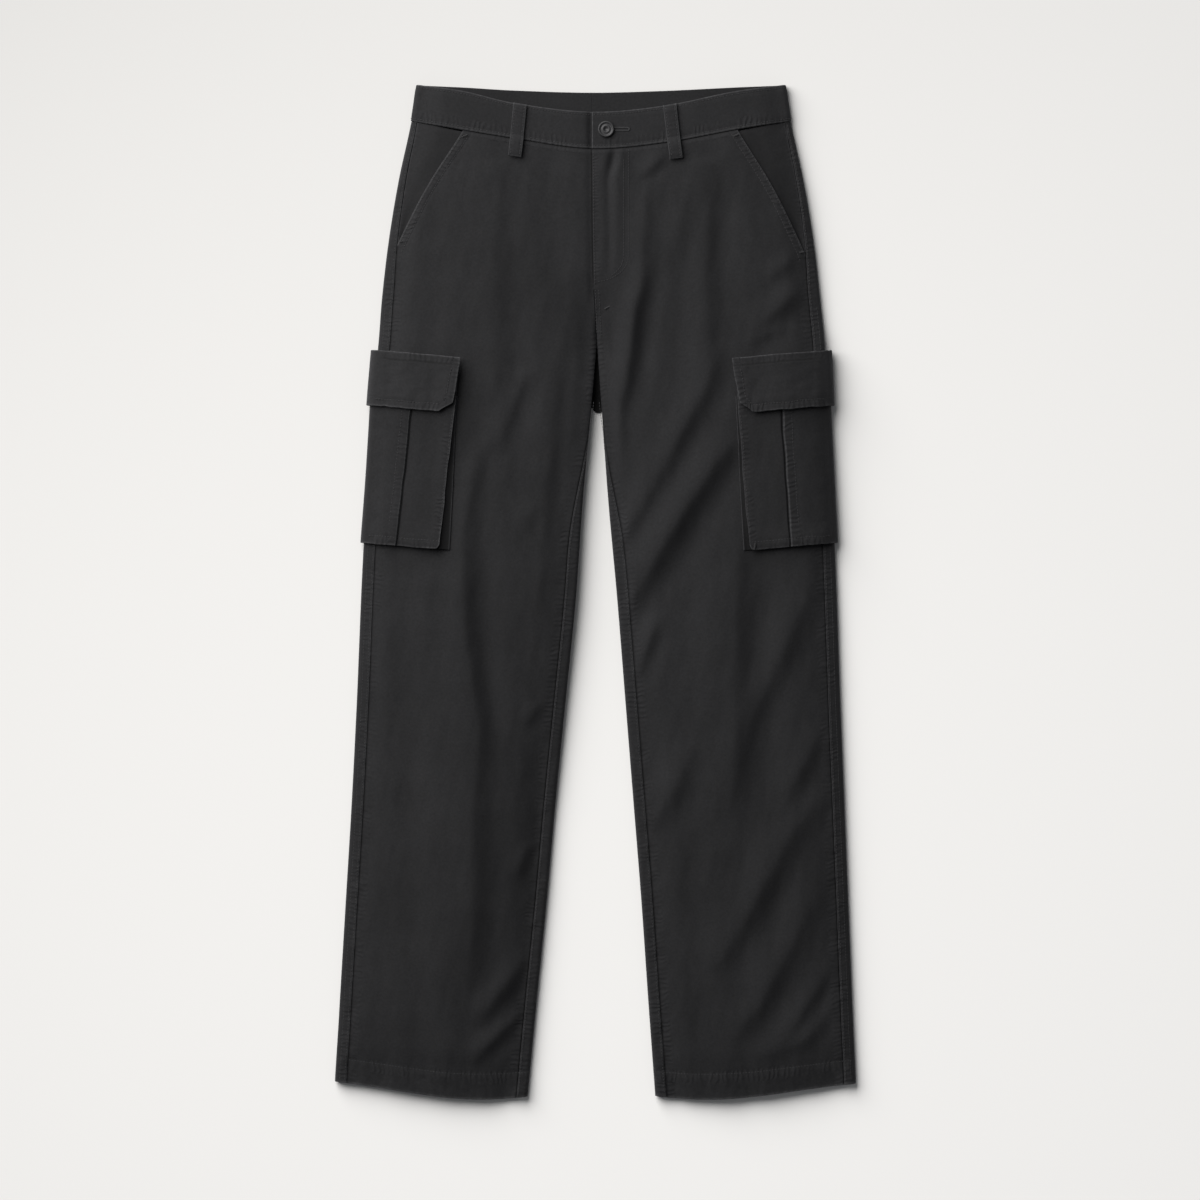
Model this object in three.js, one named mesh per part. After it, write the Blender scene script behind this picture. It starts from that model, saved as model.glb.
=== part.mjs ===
// Cargo trousers of cotton twill, laid flat on a table with the front up.
// Millimetres. The origin is on the table under the middle of the garment.
// +X is the wearer's left, +Y points to the waist and +Z up off the table.
// Every piece is a wall of cloth through rows (levels down the garment) and columns
// (distances round a leg, from the side fold): positive over the front, negative underneath.

import * as THREE from 'three';

// Overall sizes
const LENGTH = 1064; // side of the waist to the lowest point of the hems
const TOP = LENGTH / 2;
const BAND_HEIGHT = 38.3;
const SEAM_LEVEL = TOP - BAND_HEIGHT; // the waist seam at the side folds
const HEM_LEVEL = -TOP + 9; // the last row of a leg, before the hem's bow is laid in
const FORK_LEVEL = 269.2; // where the legs part
const CLOSING_RUN = 30; // above the fork, a leg's inner side rounds off over this length
const NARROWING = { above: 75, run: 90 }; // and its front starts to slope down to that side

// Cloth and gaps
const WALL = 1.2;
const BAND_WALL = 2.4;
const GAP = 0.3;
const HALF_GAP = GAP / 2;
const FOLD_RADIUS = 4.4; // outside radius of the side and inner folds
const ARC = (Math.PI * FOLD_RADIUS) / 2; // a quarter turn round such a fold
const RISE_RUN = 34; // width over which a face climbs from a fold to its full height
const LIFT_EASED = 0.6; // share of a lift from beneath that the soft front takes up

// Rows across a leg slope down towards the inner fold, square to the side fold
const TILT = 0.088;
const TILT_RUN = 110;
const TILT_LEVELS = { none: 330, full: 275 };
const WAIST_LEVEL = 394; // rows above this bend with the waist seam
const HEM_LEVELS = { none: -443, full: -523 }; // rows below the first bend with the hem

// Silhouette: x of the side fold of the wearer's right and left leg at each height
const SIDE_FOLDS = [
  { y: 532, right: -187.4, left: 199.0 },
  { y: 493.7, right: -193.2, left: 204.8 },
  { y: 433, right: -206.3, left: 217.9 },
  { y: 370, right: -216.8, left: 228.4 },
  { y: 307, right: -224.2, left: 235.7 },
  { y: 265, right: -227.3, left: 239.9 },
  { y: 202, right: -232.6, left: 243.1 },
  { y: 118, right: -238.0, left: 247.3 },
  { y: 34, right: -244.1, left: 251.5 },
  { y: -113, right: -250.4, left: 256.7 },
  { y: -218, right: -255.7, left: 260.9 },
  { y: -323, right: -262.0, left: 265.1 },
  { y: -428, right: -268.3, left: 269.3 },
  { y: -532, right: -274.0, left: 273.6 },
];

// Centre line of the front and back, above the fork
const CENTRE = [
  { y: 532, x: -3.7 },
  { y: 464, x: -3.7 },
  { y: 328, x: -2.0 },
  { y: 259.5, x: 1.6 },
];

// Inner fold of each leg, below the fork
const INNER_FOLDS = [
  { y: 259.5, right: 1.6, left: 1.6 },
  { y: 199, right: -3.7, left: 5.8 },
  { y: 97, right: -13.1, left: 13.1 },
  { y: -8, right: -20.5, left: 22.6 },
  { y: -113, right: -31.0, left: 31.0 },
  { y: -218, right: -41.5, left: 39.4 },
  { y: -323, right: -50.9, left: 47.8 },
  { y: -428, right: -61.4, left: 55.1 },
  { y: -532, right: -71.3, left: 62.7 },
];

// Waist edges across the garment, from the wearer's right fold (0) to the left one (1)
const WAIST = [
  { across: 0, frontTop: 532, frontSeam: 493.7, backTop: 532 },
  { across: 0.13, frontTop: 524.5, frontSeam: 484.2, backTop: 529.5 },
  { across: 0.26, frontTop: 512.6, frontSeam: 475.8, backTop: 526.5 },
  { across: 0.473, frontTop: 503.1, frontSeam: 464.3, backTop: 524.1 },
  { across: 0.669, frontTop: 509.4, frontSeam: 470.6, backTop: 526 },
  { across: 0.857, frontTop: 524.1, frontSeam: 484.2, backTop: 529.5 },
  { across: 1, frontTop: 532, frontSeam: 493.7, backTop: 532 },
];

// Height of the middle of the front above the table
const THICKNESS = [
  { y: 532, middle: 15 },
  { y: 494, middle: 15.5 },
  { y: 400, middle: 16.5 },
  { y: 269, middle: 16 },
  { y: 100, middle: 15.5 },
  { y: -100, middle: 14.5 },
  { y: -300, middle: 13.5 },
  { y: -450, middle: 12 },
  { y: -532, middle: 11 },
];

// The side seam lies on the front, this far in from the side fold
const SIDE_SEAM = [
  { y: 494, inset: 5.8 },
  { y: 363, inset: 9.5 },
  { y: 306, inset: 12 },
  { y: -532, inset: 12.5 },
];

const INSEAM_INSET = 12;
const INSEAM_LEVEL = 45; // from here down the inseam lies fully on the front

// Fly: the wearer's left front lies over the right one
const FLY_UNDERLAP = 12;
const FLY_END = { full: 335, none: 318, flush: 296 };
const FLY_DIP = 1.7;
const BAND_DIP = BAND_WALL + 0.5;
const BAND_UNDERLAP = 38;
const DIP_RUN = 8;
const BAND_PROUD = 0.6;

// Creases of the front: a ridge from one point by a second to a third, in x and y
const CREASES = [
  { from: [-128, 276], via: [-129, 86], to: [-127, -100], height: 2.0, spread: 13 },
  { from: [-122, -112], via: [-110, -187], to: [-120, -318], height: 2.6, spread: 13 },
  { from: [-121, -330], via: [-128, -400], to: [-130, -482], height: 2.0, spread: 11 },
  { from: [-74, -382], via: [-98, -428], to: [-126, -480], height: 2.4, spread: 10 },
  { from: [-70, 214], via: [-78, 196], to: [-89, 176], height: 1.6, spread: 10 },
  { from: [134, 142], via: [108, 86], to: [48, -27], height: 3.2, spread: 13 },
  { from: [124, 237], via: [88, 140], to: [34, 46], height: 2.6, spread: 13 },
  { from: [57, 422], via: [46, 280], to: [31, 92], height: 2.2, spread: 13 },
  { from: [207, 307], via: [176, 284], to: [152, 258], height: 1.8, spread: 11 },
  { from: [153, 36], via: [152, -40], to: [150, -112], height: 1.6, spread: 12 },
  { from: [228, 8], via: [196, -78], to: [155, -168], height: 3.2, spread: 13 },
  { from: [106, -146], via: [89, -197], to: [71, -242], height: 2.2, spread: 12 },
  { from: [238, -142], via: [222, -184], to: [206, -212], height: 1.8, spread: 11 },
  { from: [240, -214], via: [186, -300], to: [127, -392], height: 3.2, spread: 13 },
  { from: [240, -354], via: [206, -392], to: [164, -459], height: 2.6, spread: 12 },
  { from: [247, -439], via: [226, -468], to: [169, -486], height: 2.0, spread: 10 },
];
const CREASE_STEPS = 6;
const CREASE_TAPER = 0.22; // share of its length over which a crease rises at each end
const CREASE_SIDES = { steep: 0.75, gentle: 1.25 }; // its spread on either side, as shares
const CREASE_EDGE = { from: 13, run: 18 }; // creases fade out towards the folds of the leg

// Hand pockets: the facing under the slanted edge
const FACING_DEPTH = WALL + 1; // below the front
const FACING_WALL = 1;
const FACING_UNDER = 14; // how far it goes on under the front
const FACING_BELOW = 20; // and below the pocket's mouth
const FACING_LEAST = 12;

// Cargo pockets, lengths in from the side fold at the top and bottom of each
const FLAP_TOP = 253.2;
const FLAP_END = 195.2;
const PATCH_TOP = 236;
const POCKET_END = 51.6;
const POCKET_UNDER = 54; // how far the pocket goes on under the leg
const FLAP_CLIP = { across: 13, up: 10.4 }; // the clipped corner of the flap
const FLAP_LEAN = 6; // how much narrower the flap is at its lower edge
const PATCH_WALL = 1.4;
const FLAP_WALL = 2;
const GUSSET_WALL = 1.6;
const LAYER_GAP = 0.5; // between layers that lie on each other round a fold
const PATCH_OFF = { front: GAP + GUSSET_WALL + GAP, under: LAYER_GAP };
const FLAP_OFF = PATCH_WALL + LAYER_GAP;
const PLEAT_STEP = 1.2;
const GUSSET_TUCK = 12; // how far the bellows strip goes in under the pocket
const PATCH_STACK = PATCH_OFF.under + PATCH_WALL;
const FLAP_STACK = LAYER_GAP + FLAP_WALL;
const UNDER_RAMP = { from: 56, to: 82 }; // the leg comes back down to the table between these
const POCKET_LIFT = { above: 285, below: 28 };
const FLAP_LIFT_BELOW = 172;

// Belt loops
const LOOP_WIDTH = 14;
const LOOP_WALL = 1.6;
const LOOP_TAIL = { front: 21.2, back: 20 }; // how far a loop reaches below the waist seam
const LOOP_OFF = 0.2; // a front loop's arch over the step at the waist seam
const BACK_LOOP_XS = [-98, 3, 104];
const WAIST_LIFT = LOOP_WALL + GAP + LOOP_OFF;
const WAIST_LIFT_LEVELS = { full: 462, none: 404 };
const WAIST_LIFT_RAMP = { from: 14, to: 48 };

// Button
const BUTTON = { x: 11, y: 484.7, radius: 8.5, thick: 3.2, rim: 1.6 };

const LEGS = {
  right: {
    name: 'right',
    sign: -1,
    hem: { outer: -513.3, inner: -529.1, bow: 7.5 },
    slant: { top: 54.6, end: 363.5 },
    pocket: { top: 86, bottom: 80, pleatTop: 40, pleatBottom: 34, flap: 88, bellows: 10.5 },
    loop: { topX: -78.8, bottomX: -84.5 },
  },
  left: {
    name: 'left',
    sign: 1,
    hem: { outer: -515.4, inner: -528.5, bow: 7.5 },
    slant: { top: 56.2, end: 352 },
    pocket: { top: 94.5, bottom: 90, pleatTop: 48, pleatBottom: 46, flap: 98, bellows: 6 },
    loop: { topX: 77.7, bottomX: 84.5 },
  },
};

// Rows of the legs, from the waist seam to the hem
const LEVELS = [
  SEAM_LEVEL - HALF_GAP, 478, 456, 430, 404, 380, 358, 335, 318, FORK_LEVEL + 30,
  285, FORK_LEVEL, FLAP_TOP, PATCH_TOP, 216, FLAP_END, FLAP_LIFT_BELOW, 142, 112, 82,
  POCKET_END, POCKET_LIFT.below, -6, -42, -80, -120, -160, -200, -240, -280, -320,
  -360, -400, -440, -480, HEM_LEVEL,
];

const twill = new THREE.MeshStandardMaterial({ color: 0x303032, roughness: 0.95, metalness: 0 });
const buttonResin = new THREE.MeshStandardMaterial({ color: 0x232325, roughness: 0.45, metalness: 0 });

const { cos, hypot, max, min, PI, sin } = Math;
const clamp01 = (t) => min(1, max(0, t));
const mix = (a, b, t) => a + (b - a) * t;

function smooth(t) {
  const u = clamp01(t);
  return u * u * (3 - 2 * u);
}

// From 0 at one level to 1 at a lower one
const falling = ({ none, full }, level) => smooth((none - level) / (none - full));

// A smooth curve through a table's rows, read in one of its columns
function readTable(rows, key, column, at) {
  const first = rows[0][key];
  const rising = rows[rows.length - 1][key] > first;
  let i = 0;
  while (i < rows.length - 2 && (rising ? at > rows[i + 1][key] : at < rows[i + 1][key])) {
    i += 1;
  }
  const slope = (k) => {
    const a = rows[max(0, k - 1)];
    const b = rows[min(rows.length - 1, k + 1)];
    return (b[column] - a[column]) / (b[key] - a[key]);
  };
  const low = rows[i];
  const high = rows[i + 1];
  const span = high[key] - low[key];
  const t = clamp01((at - low[key]) / span);
  const t2 = t * t;
  const t3 = t2 * t;
  return (
    (2 * t3 - 3 * t2 + 1) * low[column]
    + (t3 - 2 * t2 + t) * span * slope(i)
    + (3 * t2 - 2 * t3) * high[column]
    + (t3 - t2) * span * slope(i + 1)
  );
}

// Height at which the hem of a leg lies, from its side fold (0) to its inner fold (1)
function hemHeight(leg, u) {
  const { outer, inner, bow } = leg.hem;
  return mix(outer, inner, u) - bow * sin(PI * clamp01(u) ** 1.5);
}

// Height on the table of the point of a row that lies this far in from the side fold
function rowHeight(leg, level, inset, width, x, onFront) {
  const left = readTable(SIDE_FOLDS, 'y', 'left', level);
  const right = readTable(SIDE_FOLDS, 'y', 'right', level);
  const across = (x - right) / (left - right);
  const backTop = readTable(WAIST, 'across', 'backTop', across);
  const top = onFront ? readTable(WAIST, 'across', 'frontTop', across) : backTop;
  const seam = onFront ? readTable(WAIST, 'across', 'frontSeam', across) : backTop - BAND_HEIGHT;
  if (level > SEAM_LEVEL) {
    return mix(seam, top, (level - SEAM_LEVEL) / BAND_HEIGHT);
  }
  const waistShare = smooth((level - WAIST_LEVEL) / (SEAM_LEVEL - WAIST_LEVEL));
  const hemShare = falling(HEM_LEVELS, level);
  const tiltShare = falling(TILT_LEVELS, level) * (1 - hemShare);
  return (
    level
    + waistShare * (seam - SEAM_LEVEL)
    - tiltShare * TILT * min(inset, TILT_RUN)
    + hemShare * (hemHeight(leg, inset / width) - HEM_LEVEL)
  );
}

// Where a leg's folds are at a level: side x, width, and length of each face round its folds
function legAt(leg, level) {
  const sideX = readTable(SIDE_FOLDS, 'y', leg.name, level);
  const nearWidth = 200;
  const innerY = rowHeight(leg, level, nearWidth, nearWidth, 0, true);
  const innerX = level > FORK_LEVEL
    ? readTable(CENTRE, 'y', 'x', level > SEAM_LEVEL ? level : innerY)
    : readTable(INNER_FOLDS, 'y', leg.name, innerY);
  const width = Math.abs(innerX - sideX) - HALF_GAP;
  return { sideX, width, face: width - 2 * FOLD_RADIUS + PI * FOLD_RADIUS };
}

// The inner side of a leg is round below the fork (1) and open above it (0)
const closing = (level) => smooth((FORK_LEVEL + CLOSING_RUN - level) / CLOSING_RUN);
const narrowing = (level) => smooth((FORK_LEVEL + NARROWING.above - level) / NARROWING.run);

// A point of the section: its distance in from the side fold, its face and its turn round a fold
function sectionPoint(level, width, face, p) {
  const wrapped = p < -face && level <= FORK_LEVEL;
  const onFront = p >= 0 || wrapped;
  const a = wrapped ? 2 * face + p : Math.abs(p);
  const b = face - a;
  if (a < ARC) {
    const angle = a / FOLD_RADIUS;
    return { onFront, inset: FOLD_RADIUS * (1 - cos(angle)), turn: sin(angle) };
  }
  if (b < 0) {
    return { onFront, inset: width - b, turn: 1 };
  }
  if (b < ARC) {
    const closed = closing(level);
    const angle = b / FOLD_RADIUS;
    const round = FOLD_RADIUS * (1 - cos(angle));
    const flat = (b / ARC) * FOLD_RADIUS;
    return { onFront, inset: width - mix(flat, round, closed), turn: mix(1, sin(angle), closed) };
  }
  return { onFront, inset: FOLD_RADIUS + a - ARC, turn: 1 };
}

function quadratic(a, b, c, t) {
  return (1 - t) ** 2 * a + 2 * t * (1 - t) * b + t * t * c;
}

// Height of the creases at a point of the front. A ridge is wide on one side, steep on the other.
function creaseHeight(x, y) {
  let total = 0;
  for (const crease of CREASES) {
    const middle = [
      2 * crease.via[0] - (crease.from[0] + crease.to[0]) / 2,
      2 * crease.via[1] - (crease.from[1] + crease.to[1]) / 2,
    ];
    let best = { away: Infinity, side: 1, t: 0 };
    for (let k = 0; k < CREASE_STEPS; k += 1) {
      const point = (t, axis) => quadratic(crease.from[axis], middle[axis], crease.to[axis], t);
      const t0 = k / CREASE_STEPS;
      const t1 = (k + 1) / CREASE_STEPS;
      const x0 = point(t0, 0);
      const y0 = point(t0, 1);
      const dx = point(t1, 0) - x0;
      const dy = point(t1, 1) - y0;
      const u = clamp01(((x - x0) * dx + (y - y0) * dy) / (dx * dx + dy * dy));
      const away = hypot(x - x0 - u * dx, y - y0 - u * dy);
      if (away < best.away) {
        const side = dx * (y - y0) - dy * (x - x0) > 0 ? 1 : -1;
        best = { away, side, t: mix(t0, t1, u) };
      }
    }
    const reach = crease.spread * (best.side > 0 ? CREASE_SIDES.steep : CREASE_SIDES.gentle);
    const ends = smooth(best.t / CREASE_TAPER) * smooth((1 - best.t) / CREASE_TAPER);
    total += crease.height * ends * Math.exp(-((best.away / reach) ** 2));
  }
  return total;
}

// A ramp up from a to b, level, and down from c to d, along a falling row level
function plateau(level, a, b, c, d) {
  return min(clamp01((a - level) / (a - b)), clamp01((level - d) / (c - d)));
}

// How far a leg is lifted off the table by the pocket, flap and belt loops beneath it
function lift(level, inset) {
  const pocket = plateau(level, POCKET_LIFT.above, FLAP_TOP, POCKET_END, POCKET_LIFT.below);
  const flap = plateau(level, POCKET_LIFT.above, FLAP_TOP, FLAP_END, FLAP_LIFT_BELOW);
  const near = 1 - clamp01((inset - UNDER_RAMP.from) / (UNDER_RAMP.to - UNDER_RAMP.from));
  const { full, none } = WAIST_LIFT_LEVELS;
  const waist = clamp01((level - none) / (full - none));
  const ramp = WAIST_LIFT_RAMP;
  const inward = clamp01((inset - ramp.from) / (ramp.to - ramp.from));
  return near * (PATCH_STACK * pocket + FLAP_STACK * flap) + WAIST_LIFT * waist * inward;
}

// The fly's lower layer: the wearer's right side dips under the left one
function flyDip(leg, level, y, toCentre) {
  if (leg.name !== 'right') {
    return 0;
  }
  const depth = level > SEAM_LEVEL ? BAND_DIP : FLY_DIP;
  const along = smooth((y - FLY_END.flush) / (FLY_END.none - FLY_END.flush));
  return depth * along * smooth((DIP_RUN + 1 - toCentre) / DIP_RUN);
}

// The outer skin of a leg, panel and waistband alike
function skin(leg, level, p) {
  const { sideX, width, face } = legAt(leg, level);
  const { onFront, inset, turn } = sectionPoint(level, width, face, p);
  const x = sideX - leg.sign * inset;
  const y = rowHeight(leg, level, inset, width, x, onFront);
  const lifted = lift(level, inset);
  if (!onFront) {
    return new THREE.Vector3(x, y, FOLD_RADIUS * (1 - turn) + lifted);
  }
  const toInner = width - inset;
  const narrow = narrowing(level);
  const middle = readTable(THICKNESS, 'y', 'middle', level);
  const climb = smooth(inset / RISE_RUN) * mix(1, smooth(toInner / RISE_RUN), narrow);
  const fade = (edge) => smooth((edge - CREASE_EDGE.from) / CREASE_EDGE.run);
  const clear = fade(inset) * mix(1, fade(toInner), narrow);
  const rise = (middle - 2 * FOLD_RADIUS) * climb + clear * creaseHeight(x, y);
  const z = FOLD_RADIUS * (1 + turn) + rise + lifted * (1 - LIFT_EASED * smooth(inset / RISE_RUN));
  return new THREE.Vector3(x, y, z - flyDip(leg, level, y, toInner));
}

// The way out of the skin
function outward(leg, level, p) {
  const step = 0.2;
  const stepUp = level > SEAM_LEVEL ? step : 0; // panel and band keep to their sides of the seam
  const { face } = legAt(leg, level);
  const inside = Math.abs(Math.abs(p) - face) < step ? Math.sign(p) * (face - step) : p;
  const across = skin(leg, level, inside + step).sub(skin(leg, level, inside - step));
  const along = skin(leg, level + stepUp, inside).sub(skin(leg, level + stepUp - step, inside));
  return across.cross(along).multiplyScalar(-leg.sign).normalize();
}

// The skin moved out by a distance, or in where that is negative
function offSkin(leg, level, p, distance) {
  return skin(leg, level, p).addScaledVector(outward(leg, level, p), distance);
}

// The same from the flat facets of the panel that a piece lies on
function offFacets(leg, level, p, distance) {
  return facetPoint(leg, level, p).addScaledVector(outward(leg, level, p), distance);
}

// One closed wall through a grid of outer points and a grid of inner points
function wallMesh(name, material, outer, inner) {
  const rows = outer.length;
  const columns = outer[0].length;
  const points = [...outer.flat(), ...inner.flat()];
  const offset = rows * columns;
  const at = (row, column) => row * columns + column;
  const triangles = [];
  const quad = (a, b, c, d) => triangles.push([a, b, c], [a, c, d]);
  for (let i = 0; i < rows - 1; i += 1) {
    for (let j = 0; j < columns - 1; j += 1) {
      const [a, b, c, d] = [at(i, j), at(i, j + 1), at(i + 1, j + 1), at(i + 1, j)];
      quad(a, b, c, d);
      quad(d + offset, c + offset, b + offset, a + offset);
    }
  }
  const edge = (a, b) => quad(b, a, a + offset, b + offset);
  for (let j = 0; j < columns - 1; j += 1) {
    edge(at(0, j), at(0, j + 1));
    edge(at(rows - 1, j + 1), at(rows - 1, j));
  }
  for (let i = 0; i < rows - 1; i += 1) {
    edge(at(i + 1, 0), at(i, 0));
    edge(at(i, columns - 1), at(i + 1, columns - 1));
  }
  const volume = triangles.reduce((sum, [a, b, c]) => (
    sum + points[a].dot(new THREE.Vector3().crossVectors(points[b], points[c]))
  ), 0);
  const index = triangles.flatMap(([a, b, c]) => (volume > 0 ? [a, b, c] : [a, c, b]));
  const geometry = new THREE.BufferGeometry();
  const numbers = points.flatMap((v) => v.toArray());
  geometry.setAttribute('position', new THREE.Float32BufferAttribute(numbers, 3));
  geometry.setIndex(index);
  geometry.computeVertexNormals();
  const mesh = new THREE.Mesh(geometry, material);
  mesh.name = name;
  return mesh;
}

// A wall that follows the skin: columns(level) gives its distances round the leg,
// out(level, p) its outer face's distance from the skin, and place the point that far out
function clothPiece(name, leg, levels, columns, out, wall, place = offSkin) {
  const grid = (extra) => levels.map((level) => (
    columns(level).map((p) => place(leg, level, p, out(level, p) + extra))
  ));
  return wallMesh(name, twill, grid(0), grid(-wall));
}

const spread = (from, to, count) => (
  Array.from({ length: count }, (_, k) => mix(from, to, k / (count - 1)))
);
const roundFrom = (inset) => ARC + inset - FOLD_RADIUS; // distance round to a point of the front

const sideSeam = (level) => roundFrom(readTable(SIDE_SEAM, 'y', 'inset', level));

function inseam(level) {
  return roundFrom(INSEAM_INSET) * smooth((FORK_LEVEL - level) / (FORK_LEVEL - INSEAM_LEVEL));
}

// The slanted edge of the hand pocket, as a distance round from the side fold
function slantEdge(leg, level) {
  const { top, end } = leg.slant;
  const t = (SEAM_LEVEL - level) / (SEAM_LEVEL - end);
  return mix(roundFrom(top), sideSeam(end), t);
}

// Columns near the inner edge, as distances from it: where the fly overlaps, and elsewhere
const INNER_COLUMNS = { lapped: [9.5, 5, 1, -FLY_UNDERLAP], plain: [10.5, 7, 3.5, 0] };

function frontColumns(leg, level) {
  const { face } = legAt(leg, level);
  const share = clamp01((level - FLY_END.none) / (FLY_END.full - FLY_END.none));
  const underlap = leg.name === 'right' ? share : 0;
  const start = max(sideSeam(level) + GAP, slantEdge(leg, level));
  const plain = inseam(level) + HALF_GAP;
  const ends = INNER_COLUMNS.lapped.map((lapped, k) => (
    face - mix(plain + INNER_COLUMNS.plain[k], lapped, underlap)
  ));
  return [start, start + 5, ...spread(start + 14, ends[0] - 11, 10), ...ends];
}

function backColumns(leg, level) {
  const { face } = legAt(leg, level);
  const side = sideSeam(level);
  const end = -(face + inseam(level) - HALF_GAP);
  const round = [ARC, ARC / 2, 0, -ARC / 2, -ARC];
  const ramp = [-roundFrom(UNDER_RAMP.from), -roundFrom(UNDER_RAMP.to)];
  const flat = [...ramp, mix(-UNDER_RAMP.to, ARC - face, 0.55)];
  return [side, mix(side, ARC, 0.5), ...round, ...flat, ...spread(ARC - face, end, 5)];
}

function frontPanel(leg) {
  const columns = (level) => frontColumns(leg, level);
  return clothPiece(`front_${leg.name}`, leg, LEVELS, columns, () => 0, WALL);
}

function backPanel(leg) {
  const columns = (level) => backColumns(leg, level);
  return clothPiece(`back_${leg.name}`, leg, LEVELS, columns, () => 0, WALL);
}

// The point of a panel's own flat facets at a distance round one of its rows
function facetPoint(leg, level, p) {
  const columns = [...frontColumns(leg, level).reverse(), ...backColumns(leg, level)];
  const k = columns.findIndex((column) => column < p);
  if (k < 1) {
    return skin(leg, level, p);
  }
  const t = (columns[k - 1] - p) / (columns[k - 1] - columns[k]);
  return skin(leg, level, columns[k - 1]).lerp(skin(leg, level, columns[k]), t);
}

// What shows in the mouth of a hand pocket: the facing under the slanted edge
function pocketFacing(leg) {
  const levels = LEVELS.filter((level) => level > leg.slant.end - FACING_BELOW);
  const columns = (level) => {
    const side = sideSeam(level);
    return spread(side + GAP, max(side + FACING_LEAST, slantEdge(leg, level) + FACING_UNDER), 8);
  };
  const name = `pocket_facing_${leg.name}`;
  return clothPiece(name, leg, levels, columns, () => -FACING_DEPTH, FACING_WALL, offFacets);
}

function waistband(leg) {
  const levels = [SEAM_LEVEL + HALF_GAP, SEAM_LEVEL + BAND_HEIGHT / 2, TOP];
  const columns = (level) => {
    const { face } = legAt(leg, level);
    const back = spread(HALF_GAP - face, -ARC, 6);
    const front = spread(ARC + 18, face - DIP_RUN - 3, 8);
    const ends = leg.name === 'right'
      ? [face - 5, face - 1, face + BAND_UNDERLAP / 2, face + BAND_UNDERLAP]
      : [face - 4, face];
    return [...back, -ARC / 2, 0, ARC / 2, ARC, ...front, ...ends];
  };
  const out = (level, p) => BAND_PROUD * smooth((p + ARC) / (2 * ARC));
  return clothPiece(`waistband_${leg.name}`, leg, levels, columns, out, BAND_WALL);
}

function pocketShare(level) {
  return clamp01((FLAP_END - level) / (FLAP_END - POCKET_END));
}

const frontEdge = ({ pocket }, level) => roundFrom(mix(pocket.top, pocket.bottom, pocketShare(level)));
const pleatLine = ({ pocket }, level) => (
  roundFrom(mix(pocket.pleatTop, pocket.pleatBottom, pocketShare(level)))
);
const ROUND_COLUMNS = [ARC, ARC / 2, 0, -ARC / 2, -ARC]; // round the side fold
const UNDER_COLUMN = -30; // halfway under the leg

// Distance of the pocket's wall from the leg: close to it underneath, out on its bellows in front
function patchOut(leg, level, p) {
  const onFront = smooth((p + ARC) / ARC);
  const pleat = pleatLine(leg, level);
  const step = PLEAT_STEP * clamp01((pleat + 2 - p) / 2) * smooth((p - ARC) / 14);
  return mix(PATCH_OFF.under, PATCH_OFF.front, onFront) + step + PATCH_WALL;
}

function cargoPocket(leg) {
  const levels = LEVELS.filter((level) => level <= PATCH_TOP && level >= POCKET_END);
  const columns = (level) => {
    const edge = frontEdge(leg, level);
    const pleat = pleatLine(leg, level);
    const front = [edge, mix(edge, pleat, 0.5), pleat + 2, pleat, pleat - 14];
    return [...front, ...ROUND_COLUMNS, UNDER_COLUMN, -POCKET_UNDER];
  };
  const out = (level, p) => patchOut(leg, level, p);
  const name = `cargo_pocket_${leg.name}`;
  return clothPiece(name, leg, levels, columns, out, PATCH_WALL, offFacets);
}

// The bellows strip between the pocket's front edge and the leg
function cargoGusset(leg) {
  const levels = LEVELS.filter((level) => level <= FLAP_END + 1 && level >= POCKET_END);
  const columns = (level) => {
    const edge = frontEdge(leg, level);
    return [edge - GUSSET_TUCK, edge - 2, edge + mix(1.5, leg.pocket.bellows, pocketShare(level))];
  };
  const out = () => GAP + GUSSET_WALL;
  const name = `cargo_gusset_${leg.name}`;
  return clothPiece(name, leg, levels, columns, out, GUSSET_WALL, offFacets);
}

function cargoFlap(leg) {
  const levels = LEVELS.filter((level) => level <= FLAP_TOP && level >= FLAP_END);
  const edge = roundFrom(leg.pocket.flap);
  const pleat = roundFrom(leg.pocket.pleatTop);
  const front = [edge, edge - FLAP_CLIP.across, pleat + 14, pleat, pleat - 14];
  const columns = [...front, ...ROUND_COLUMNS, UNDER_COLUMN, -POCKET_UNDER - 1];
  const down = (level) => (FLAP_TOP - level) / (FLAP_TOP - FLAP_END);
  const lean = (level, p) => FLAP_LEAN * down(level) * smooth(p / edge);
  const out = (level, p) => {
    const onFront = smooth((p + ARC) / ARC);
    const seated = mix(PATCH_OFF.under, PATCH_OFF.front + PLEAT_STEP, onFront);
    return seated + FLAP_OFF + FLAP_WALL;
  };
  const clipped = (level, p) => {
    const raised = clamp01((p - edge) / FLAP_CLIP.across + 1) * FLAP_CLIP.up;
    return max(level, FLAP_END + raised * down(level));
  };
  const grid = (extra) => levels.map((level) => columns.map((p) => {
    const row = clipped(level, p);
    return offFacets(leg, row, p - lean(row, p), out(level, p) + extra);
  }));
  return wallMesh(`cargo_flap_${leg.name}`, twill, grid(0), grid(-FLAP_WALL));
}

// A loop across the waistband at a distance round the leg, its outer face this far off the skin
function beltLoop(name, leg, levels, centreAt, out) {
  const side = (level) => [-1, 0, 1].map((k) => centreAt(level) + (k * LOOP_WIDTH) / 2);
  return clothPiece(name, leg, levels, side, () => out, LOOP_WALL);
}

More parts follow.
